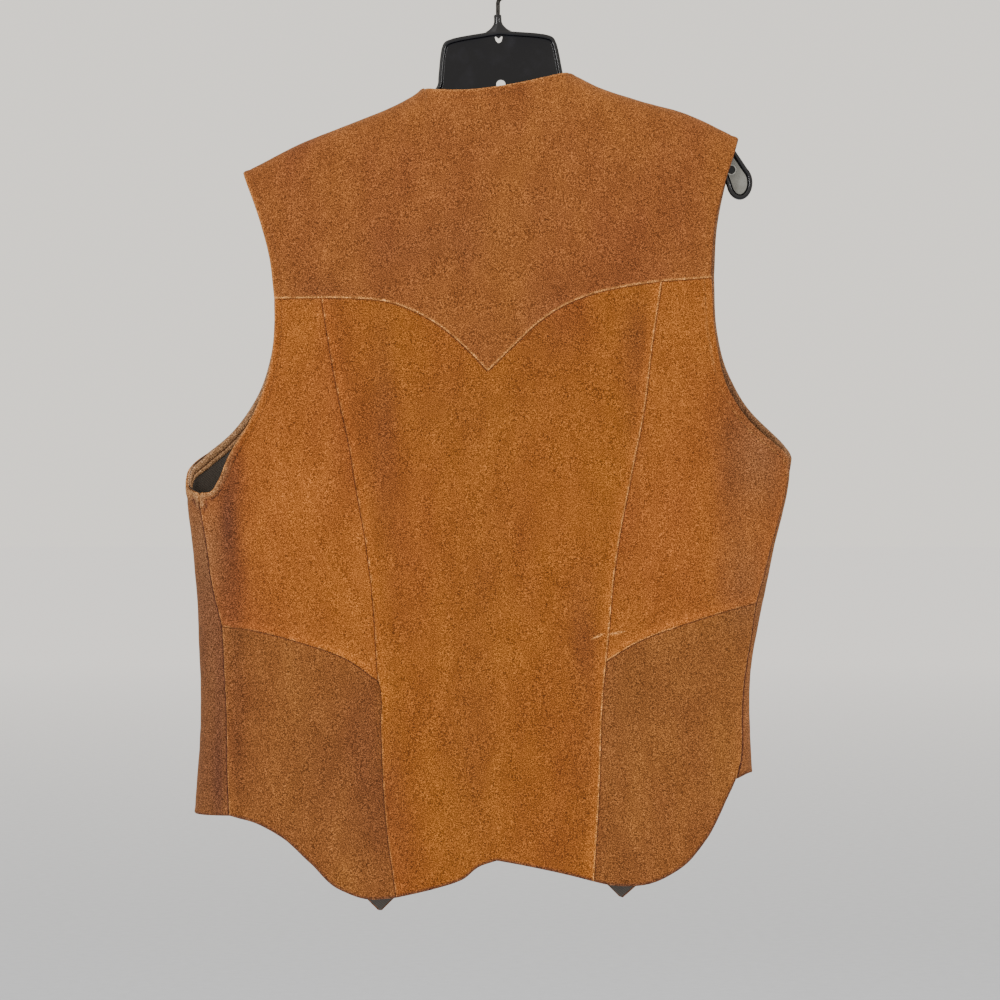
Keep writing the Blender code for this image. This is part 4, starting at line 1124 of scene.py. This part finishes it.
def stitchTree():
    tree = bpy.data.node_groups.new("stitchesAlongLine", "GeometryNodeTree")
    tree.interface.new_socket("Geometry", in_out="INPUT", socket_type="NodeSocketGeometry")
    for name, kind in (("Pitch", "Float"), ("Length", "Float"), ("Width", "Float"), ("Seed", "Int"),
                       ("Thread", "Material")):
        tree.interface.new_socket(name, in_out="INPUT", socket_type="NodeSocket" + kind)
    tree.interface.new_socket("Geometry", in_out="OUTPUT", socket_type="NodeSocketGeometry")
    given = tree.nodes.new("NodeGroupInput")
    line = add(tree, "GeometryNodeMeshToCurve", {"Mesh": given.outputs["Geometry"]})
    spaced = add(tree, "GeometryNodeResampleCurve", {"Curve": line.outputs[0],
                                                     "Length": given.outputs["Pitch"]}, mode="LENGTH")
    size = add(tree, "ShaderNodeCombineXYZ", {"X": given.outputs["Length"], "Y": given.outputs["Width"],
                                              "Z": given.outputs["Width"]})
    half = add(tree, "ShaderNodeVectorMath", {0: size.outputs[0], "Scale": 0.5}, operation="SCALE")
    grain = add(tree, "GeometryNodeMeshUVSphere", {"Segments": 6, "Rings": 5, "Radius": 1.0})
    turned = add(tree, "GeometryNodeTransform", {"Geometry": grain.outputs[0],
                                                 "Rotation": (0, math.pi / 2, 0)})
    shaped = add(tree, "GeometryNodeTransform", {"Geometry": turned.outputs[0], "Scale": half.outputs[0]})
    along = tree.nodes.new("GeometryNodeInputTangent")
    most = stitches["lean"]
    lean = add(tree, "FunctionNodeRandomValue", {0: (-most,) * 3, 1: (most,) * 3,
                                                 "Seed": given.outputs["Seed"]}, data_type="FLOAT_VECTOR")
    way = add(tree, "ShaderNodeVectorMath", {0: along.outputs[0], 1: lean.outputs[0]}, operation="ADD")
    aligned = add(tree, "FunctionNodeAlignRotationToVector", {"Vector": way.outputs[0]}, axis="X")
    placedOnes = add(tree, "GeometryNodeInstanceOnPoints", {
        "Points": spaced.outputs[0], "Instance": shaped.outputs[0], "Rotation": aligned.outputs[0]})
    real = add(tree, "GeometryNodeRealizeInstances", {"Geometry": placedOnes.outputs[0]})
    coloured = add(tree, "GeometryNodeSetMaterial", {"Geometry": real.outputs[0],
                                                     "Material": given.outputs["Thread"]})
    add(tree, "NodeGroupOutput", {0: coloured.outputs[0]})
    return tree


def makeStitches(name, lines, tree, thread):
    # lines are lists of points in mm; the tree's result becomes a plain mesh
    points, edges = [], []
    for line in lines:
        first = len(points)
        points += (line * mm).tolist()
        edges += [(first + step, first + step + 1) for step in range(len(line) - 1)]
    mesh = bpy.data.meshes.new(name + "Line")
    mesh.from_pydata(points, edges, [])
    guide = linked(name + "Line", mesh)
    modifier = guide.modifiers.new("stitches", "NODES")
    modifier.node_group = tree
    entries = {"Pitch": stitches["pitch"], "Length": stitches["length"], "Width": stitches["width"],
               "Seed": stitches["seed"], "Thread": finishes[thread]}
    for item in tree.interface.items_tree:
        if item.in_out == "INPUT" and item.name in entries:
            modifier[item.identifier] = entries[item.name]
    plain = plainMesh(guide, modifier)
    plain.name = name
    plain.materials.clear()
    return finished(name, plain, thread, "front_suede")


def makeEdges():
    split = (lattice["lower"] + lattice["waist"]) * edgeFiner
    shoulder = lattice["shoulder"] * edgeFiner
    neck = slice(shoulder, shoulder + lattice["neck"] * edgeFiner + 1)
    tree = stitchTree()
    bases = [("Back", *baseSurface(backPlaces(edgeFiner), False)),
             ("FrontLeft", *baseSurface(frontPlaces(True, edgeFiner), True)),
             ("FrontRight", *baseSurface(frontPlaces(False, edgeFiner), False))]
    for key, points, base in bases:
        if key == "Back":
            borders = [("ArmholeLeft", points[split:, 0], points[split:, 1]),
                       ("ArmholeRight", points[split:, -1], points[split:, -2]),
                       ("Neck", points[-1, neck], points[-2, neck])]
        else:
            borders = [("Armhole", points[split:, 0], points[split:, 1]),
                       ("Edge", points[:, -1], points[:, -2])]
        outside, inside, rim = [], [], []
        for part, border, inner in borders:
            makeFacing("facing" + key + part, base, border, inner)
            spots, normals = offsetLines(base, border, inner, stitches["lineStep"], (facing["stitchAway"],))
            waves = uneven(spots)
            for height, lines in ((facing["outsideHeight"], outside), (-facing["insideDepth"], inside)):
                line = (spots + (waves + height)[..., None] * normals)[2:-2, 0]
                if lines is outside and part.startswith("Armhole"):
                    rim.append(line[: stitches["rimSteps"] + 1])
                    line = line[stitches["rimSteps"] :]
                lines.append(line)
        makeStitches("stitches" + key + "Rim", rim, tree, "seamThread")
        makeStitches("stitches" + key + "Outside", outside, tree, "edgeThread")
        makeStitches("stitches" + key + "Inside", inside, tree, "seamThread")
        print("edges of", key)


makeEdges()


# Snaps down the middle of the front

snap = {
    "drops": (455.0, 545.0, 635.0, 725.0), "sides": 40, "gap": 0.15,
    "section": [(0.0, 0.0), (6.0, 0.0), (6.3, 0.35), (6.25, 0.75), (5.85, 1.0), (5.4, 0.95), (5.15, 1.05),
                (4.9, 1.5), (4.2, 2.05), (3.1, 2.45), (1.7, 2.7), (0.0, 2.8)],
}


def lathe(name, section, sides, centre, out):
    # closed turned shape from radius and height along out
    sideways = np.cross(out, (0, 0, 1))
    sideways /= np.linalg.norm(sideways)
    upright = np.cross(sideways, out)
    shape = bmesh.new()
    rings = []
    for radius, height in section:
        middle = np.array(centre) + height * np.array(out)
        if radius == 0:
            rings.append([shape.verts.new(middle * mm)])
            continue
        ring = []
        for angle in np.arange(sides) * 2 * math.pi / sides:
            reach = math.cos(angle) * sideways + math.sin(angle) * upright
            ring.append(shape.verts.new((middle + radius * reach) * mm))
        rings.append(ring)
    for low, high in zip(rings, rings[1:]):
        for step in range(sides):
            following = (step + 1) % sides
            corners = [low[step % len(low)], low[following % len(low)],
                       high[following % len(high)], high[step % len(high)]]
            shape.faces.new(list(dict.fromkeys(corners)))
    bmesh.ops.recalc_face_normals(shape, faces=shape.faces)
    mesh = bpy.data.meshes.new(name)
    shape.to_mesh(mesh)
    shape.free()
    return mesh


def makeSnaps():
    for number, drop in enumerate(snap["drops"], 1):
        place = np.array([acrossOf(0.0, drop, frontSide), drop])
        point, out = surface(place)
        point = lifted(point, out)
        point = point + (uneven(point[None])[0] + snap["gap"]) * out
        name = f"snapCap{number}"
        mesh = lathe(name, snap["section"], snap["sides"], point, out)
        piece = finished(name, mesh, "snapBrass", "snap_metal", 0.9)
        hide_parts(f"snap_{number}")
    print("snaps made")


makeSnaps()


# Hanger: moulded plate with a rounded rim, collar, grey pads in its ends, and the wire hook

# outline of the plate's right half, as x and drop below its collar's foot
hangerShape = {
    "top": [
        (0, 6.6), (11.5, 7.9), (43.9, 13), (48.2, 16.8), (53.2, 43), (54.4, 51), (59.5, 57.5), (67, 64),
        (87, 72.2), (130.3, 87.4), (175.7, 103), (196, 115.5),
    ],
    "bottom": [(186, 138), (174, 127), (130.3, 111), (86.9, 96), (40, 85), (0, 81)],
}

hanger = {
    "tilt": math.radians(-2.7), "collar": (0.8, 68.7), "smooth": 5,
    "end": (200.6, 146.5), "endSize": (11.2, 15.0), "endTurn": (50, -170), "endSteps": 22,
    # distance in from the outline and half thickness there: a rounded rim, then the flat web
    "rim": [(0.0, 2.2), (0.25, 2.9), (0.8, 3.35), (1.6, 3.5), (2.4, 3.5), (3.1, 3.3), (3.55, 2.9), (3.8, 2.3),
            (4.0, 1.8), (4.35, 1.5), (4.8, 1.4)],
    "web": 1.4, "slot": [(3.2, 11.6), (3.15, 12.6), (2.9, 14.2), (2.3, 15.8), (1.3, 17.0), (0.0, 17.4)],
    "slotNub": [(2.3, 11.8), (1.5, 12.4), (0.8, 13.2), (0.0, 13.5)],
    "hole": (0.0, 53.0, 4.0), "earHole": (193.9, 135.5, 3.5),
    # height above the plate's collar foot, half width and half depth of the collar
    "neck": [(-9.2, 15.6, 3.3), (-7.7, 12.0, 3.35), (-6.6, 9.6, 3.35), (-5.2, 7.5, 3.3), (-3.4, 5.7, 3.3),
             (-1.4, 4.2, 3.3), (0.6, 3.45, 3.3), (3.0, 3.3, 3.3), (5.8, 3.3, 3.3), (6.7, 3.1, 3.1),
             (7.0, 2.7, 2.7)],
    "neckSides": 36, "bore": (2.2, 5.5),  # radius and depth of the wire's bore
    "pad": {"from": 150.0, "in": 4.6, "low": 1.32, "high": 2.0, "holeEdge": 1.1, "lip": (0.4, 0.12)},
    # bead round the peg hole: how far out and up its middle is, and its half width and half height
    "bead": (0.55, 1.75, 0.5, 0.55),
}


def hangerPlace(points):
    # from the plate's own x, y and height to the vest's frame
    c, s = math.cos(hanger["tilt"]), math.sin(hanger["tilt"])
    x, y, z = points[:, 0], points[:, 1], points[:, 2]
    collarX, collarDrop = hanger["collar"]
    return np.stack([x * c + z * s + collarX, y, -x * s + z * c - collarDrop], axis=1)


def softened(points, steps):
    # smooth line through the points, a few steps between each two
    points = np.array(points, float)
    reach = np.concatenate([[0], np.cumsum(np.sqrt(np.linalg.norm(np.diff(points, axis=0), axis=1)))])
    spans = [np.linspace(a, b, steps, endpoint=False) for a, b in zip(reach, reach[1:])]
    at = np.concatenate(spans + [reach[-1:]])
    return np.stack([ease(at, reach, points[:, part]) for part in range(points.shape[1])], axis=1)


def hangerOutline():
    half = [(x, -drop) for x, drop in hangerShape["top"]]
    endX, endDrop = hanger["end"]
    width, height = hanger["endSize"]
    rounded = []
    for angle in np.radians(np.linspace(*hanger["endTurn"], hanger["endSteps"])):
        rounded.append((endX + width * math.cos(angle), -endDrop + height * math.sin(angle)))
    top = softened(half, hanger["smooth"])
    bottom = softened([(x, -drop) for x, drop in hangerShape["bottom"]], hanger["smooth"])
    right = np.concatenate([top, rounded, bottom])
    return np.concatenate([right, right[-2:0:-1] * (-1, 1)])


def movedIn(outline, distance):
    # every side of the closed outline moves in by the distance, and its corners with them
    ahead = np.roll(outline, -1, axis=0) - outline
    ahead /= np.linalg.norm(ahead, axis=1, keepdims=True)
    second = np.stack([ahead[:, 1], -ahead[:, 0]], axis=1)
    first = np.roll(second, 1, axis=0)
    return outline + distance * (first + second) / (1 + (first * second).sum(axis=1, keepdims=True))


def circle(x, drop, radius, sides=28):
    angles = np.arange(sides) * 2 * math.pi / sides
    return np.stack([x + radius * np.cos(angles), -drop + radius * np.sin(angles)], axis=1)


def cornersAt(shape, x, y, z):
    # new corners at places in the plate's own frame; a single number holds for them all
    points = hangerPlace(np.stack(np.broadcast_arrays(x, y, z), axis=1).astype(float))
    return [shape.verts.new(point * mm) for point in points]


def loopOf(shape, outline, y):
    return cornersAt(shape, outline[:, 0], y, outline[:, 1])


def bridge(shape, first, second):
    for step in range(len(first)):
        following = (step + 1) % len(first)
        shape.faces.new([first[step], first[following], second[following], second[step]])


def filled(shape, loops):
    edges = []
    for loop in loops:
        for a, b in zip(loop, loop[1:] + loop[:1]):
            edges.append(shape.edges.get((a, b)) or shape.edges.new((a, b)))
    bmesh.ops.triangle_fill(shape, edges=edges, use_beauty=True, use_dissolve=False)


def closedMesh(shape, name):
    bmesh.ops.remove_doubles(shape, verts=shape.verts, dist=1e-7)
    bmesh.ops.recalc_face_normals(shape, faces=shape.faces)
    mesh = bpy.data.meshes.new(name)
    shape.to_mesh(mesh)
    shape.free()
    return mesh


def plateMesh(outline):
    shape = bmesh.new()
    half, nub = np.array(hanger["slot"]) * (1, -1), np.array(hanger["slotNub"]) * (1, -1)
    slot = np.concatenate([half, half[-2::-1] * (-1, 1), nub * (-1, 1), nub[-2::-1]])
    circles = [slot, circle(*hanger["hole"])]
    outer, walls = [], []
    for side in (-1, 1):
        loops = [loopOf(shape, movedIn(outline, away), side * half) for away, half in hanger["rim"]]
        for low, high in zip(loops, loops[1:]):
            bridge(shape, low, high)
        holes = [loopOf(shape, hole, side * hanger["web"]) for hole in circles]
        filled(shape, [loops[-1]] + holes)
        outer.append(loops[0])
        walls.append(holes)
    bridge(shape, outer[0], outer[1])
    for first, second in zip(*walls):
        bridge(shape, first, second)
    return closedMesh(shape, "hangerPlate")


def collarMesh():
    # up the outside, over the top and down the wire's bore
    shape = bmesh.new()
    radius, depth = hanger["bore"]
    mouth = hanger["neck"][-1][0]
    rows = hanger["neck"] + [(mouth, radius, radius), (mouth - depth, radius, radius)]
    angles = np.arange(hanger["neckSides"]) * 2 * math.pi / hanger["neckSides"]
    loops = [cornersAt(shape, halfWidth * np.cos(angles), halfDepth * np.sin(angles), height)
             for height, halfWidth, halfDepth in rows]
    for low, high in zip(loops, loops[1:]):
        bridge(shape, low, high)
    shape.faces.new(loops[0])
    shape.faces.new(loops[-1])
    return closedMesh(shape, "hangerCollar")


def padMesh(outline, mirror):
    # grey pad in the ear's recess, round the peg hole
    pad = hanger["pad"]
    inner = movedIn(outline, pad["in"])
    inner = inner[inner[:, 0] > pad["from"]]
    earX, earDrop, earRadius = hanger["earHole"]
    hole = circle(earX, earDrop, earRadius + pad["holeEdge"])
    if mirror:
        inner, hole = inner[::-1] * (-1, 1), hole[::-1] * (-1, 1)
    shape = bmesh.new()
    for side in (-1, 1):
        low, high = (loopOf(shape, inner, side * pad[key]) for key in ("low", "high"))
        lip = loopOf(shape, movedIn(inner, pad["lip"][0]), side * (pad["high"] + pad["lip"][1]))
        holeLow, holeHigh = (loopOf(shape, hole, side * pad[key]) for key in ("low", "high"))
        bridge(shape, low, high)
        bridge(shape, high, lip)
        bridge(shape, holeLow, holeHigh)
        filled(shape, [lip, holeHigh])
        filled(shape, [low, holeLow])
    return closedMesh(shape, "earPad")


def ringMesh(mirror):
    # raised bead round the peg hole, on both faces
    earX, earDrop, earRadius = hanger["earHole"]
    beyond, height, halfWidth, halfHeight = hanger["bead"]
    shape = bmesh.new()
    sign = -1 if mirror else 1
    for side in (-1, 1):
        loops = []
        for turn in np.radians(np.arange(0, 360, 45)):
            outline = circle(sign * earX, earDrop, earRadius + beyond + halfWidth * math.cos(turn))
            loops.append(loopOf(shape, outline, side * (height + halfHeight * math.sin(turn))))
        for low, high in zip(loops, loops[1:] + loops[:1]):
            bridge(shape, low, high)
    return closedMesh(shape, "earRing")


def makeHanger():
    outline = hangerOutline()
    plate, collar = linked("hangerPlate", plateMesh(outline)), linked("hangerCollar", collarMesh())
    union = plate.modifiers.new("collar", "BOOLEAN")
    union.operation, union.object, union.solver = "UNION", collar, "EXACT"
    mesh = plainMesh(plate, union)
    bpy.data.objects.remove(collar, do_unlink=True)
    piece = finished("hangerBody", mesh, "hangerPlastic", "hanger_plastic", 0.5)
    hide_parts("hanger_body")
    for key, mirror in (("Right", False), ("Left", True)):
        finished("earPad" + key, padMesh(outline, mirror), "earPadGrey", "hanger_plastic", 0.5)
        # the bead's pale colour is a painted highlight on the peg hole's rim
        finished("earRing" + key, ringMesh(mirror), "earRingHighlight", "hanger_plastic", 0.9)
    print("hanger made")


wire = {
    "radius": 1.8, "ringInner": 22.5, "turn": (-66, 196), "steps": 72, "sides": 8, "smooth": 6,
    "stem": [(0.8, -66.6), (0.8, -61.0), (0.8, -55.0), (0.8, -52.0), (1.2, -50.0), (2.8, -48.0),
             (5.6, -46.8)],
    "tip": [0.92, 0.7, 0.3], "tipStep": 0.55,  # the cut end is rounded: its radius over the last steps
}


def makeHook():
    ring = wire["ringInner"] + wire["radius"]
    arc = []
    for angle in np.radians(np.linspace(*wire["turn"], wire["steps"])):
        arc.append((ring * math.cos(angle), -wire["ringInner"] + ring * math.sin(angle)))
    # the stem is smoothed together with the ring's first two steps, which are then the ring's own
    stem = softened(wire["stem"] + arc[:3], wire["smooth"])[: -2 * wire["smooth"]]
    line = list(stem) + arc[1:]
    ahead = np.array(arc[-1]) - np.array(arc[-2])
    ahead /= np.linalg.norm(ahead)
    radii = [1.0] * len(line)
    for step, share in enumerate(wire["tip"], 1):
        line.append(np.array(arc[-1]) + ahead * (wire["tipStep"] * step))
        radii.append(share)
    curve = bpy.data.curves.new("hookWire", "CURVE")
    curve.dimensions = "3D"
    curve.bevel_depth = wire["radius"] * mm
    curve.bevel_resolution = wire["sides"] // 2
    curve.use_fill_caps = True
    spline = curve.splines.new("POLY")
    spline.points.add(len(line) - 1)
    for point, (x, z), share in zip(spline.points, line, radii):
        point.co = (x * mm, 0, z * mm, 1)
        point.radius = share
    mesh = facedOutwards(plainMesh(linked("hookWire", curve)), 1e-6)
    piece = finished("hookWire", mesh, "hookSteel", "hook_steel", 0.9)
    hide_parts("hanger_hook")
    print("hook made")


makeHanger()
makeHook()


makeCamera()
makeStudio()
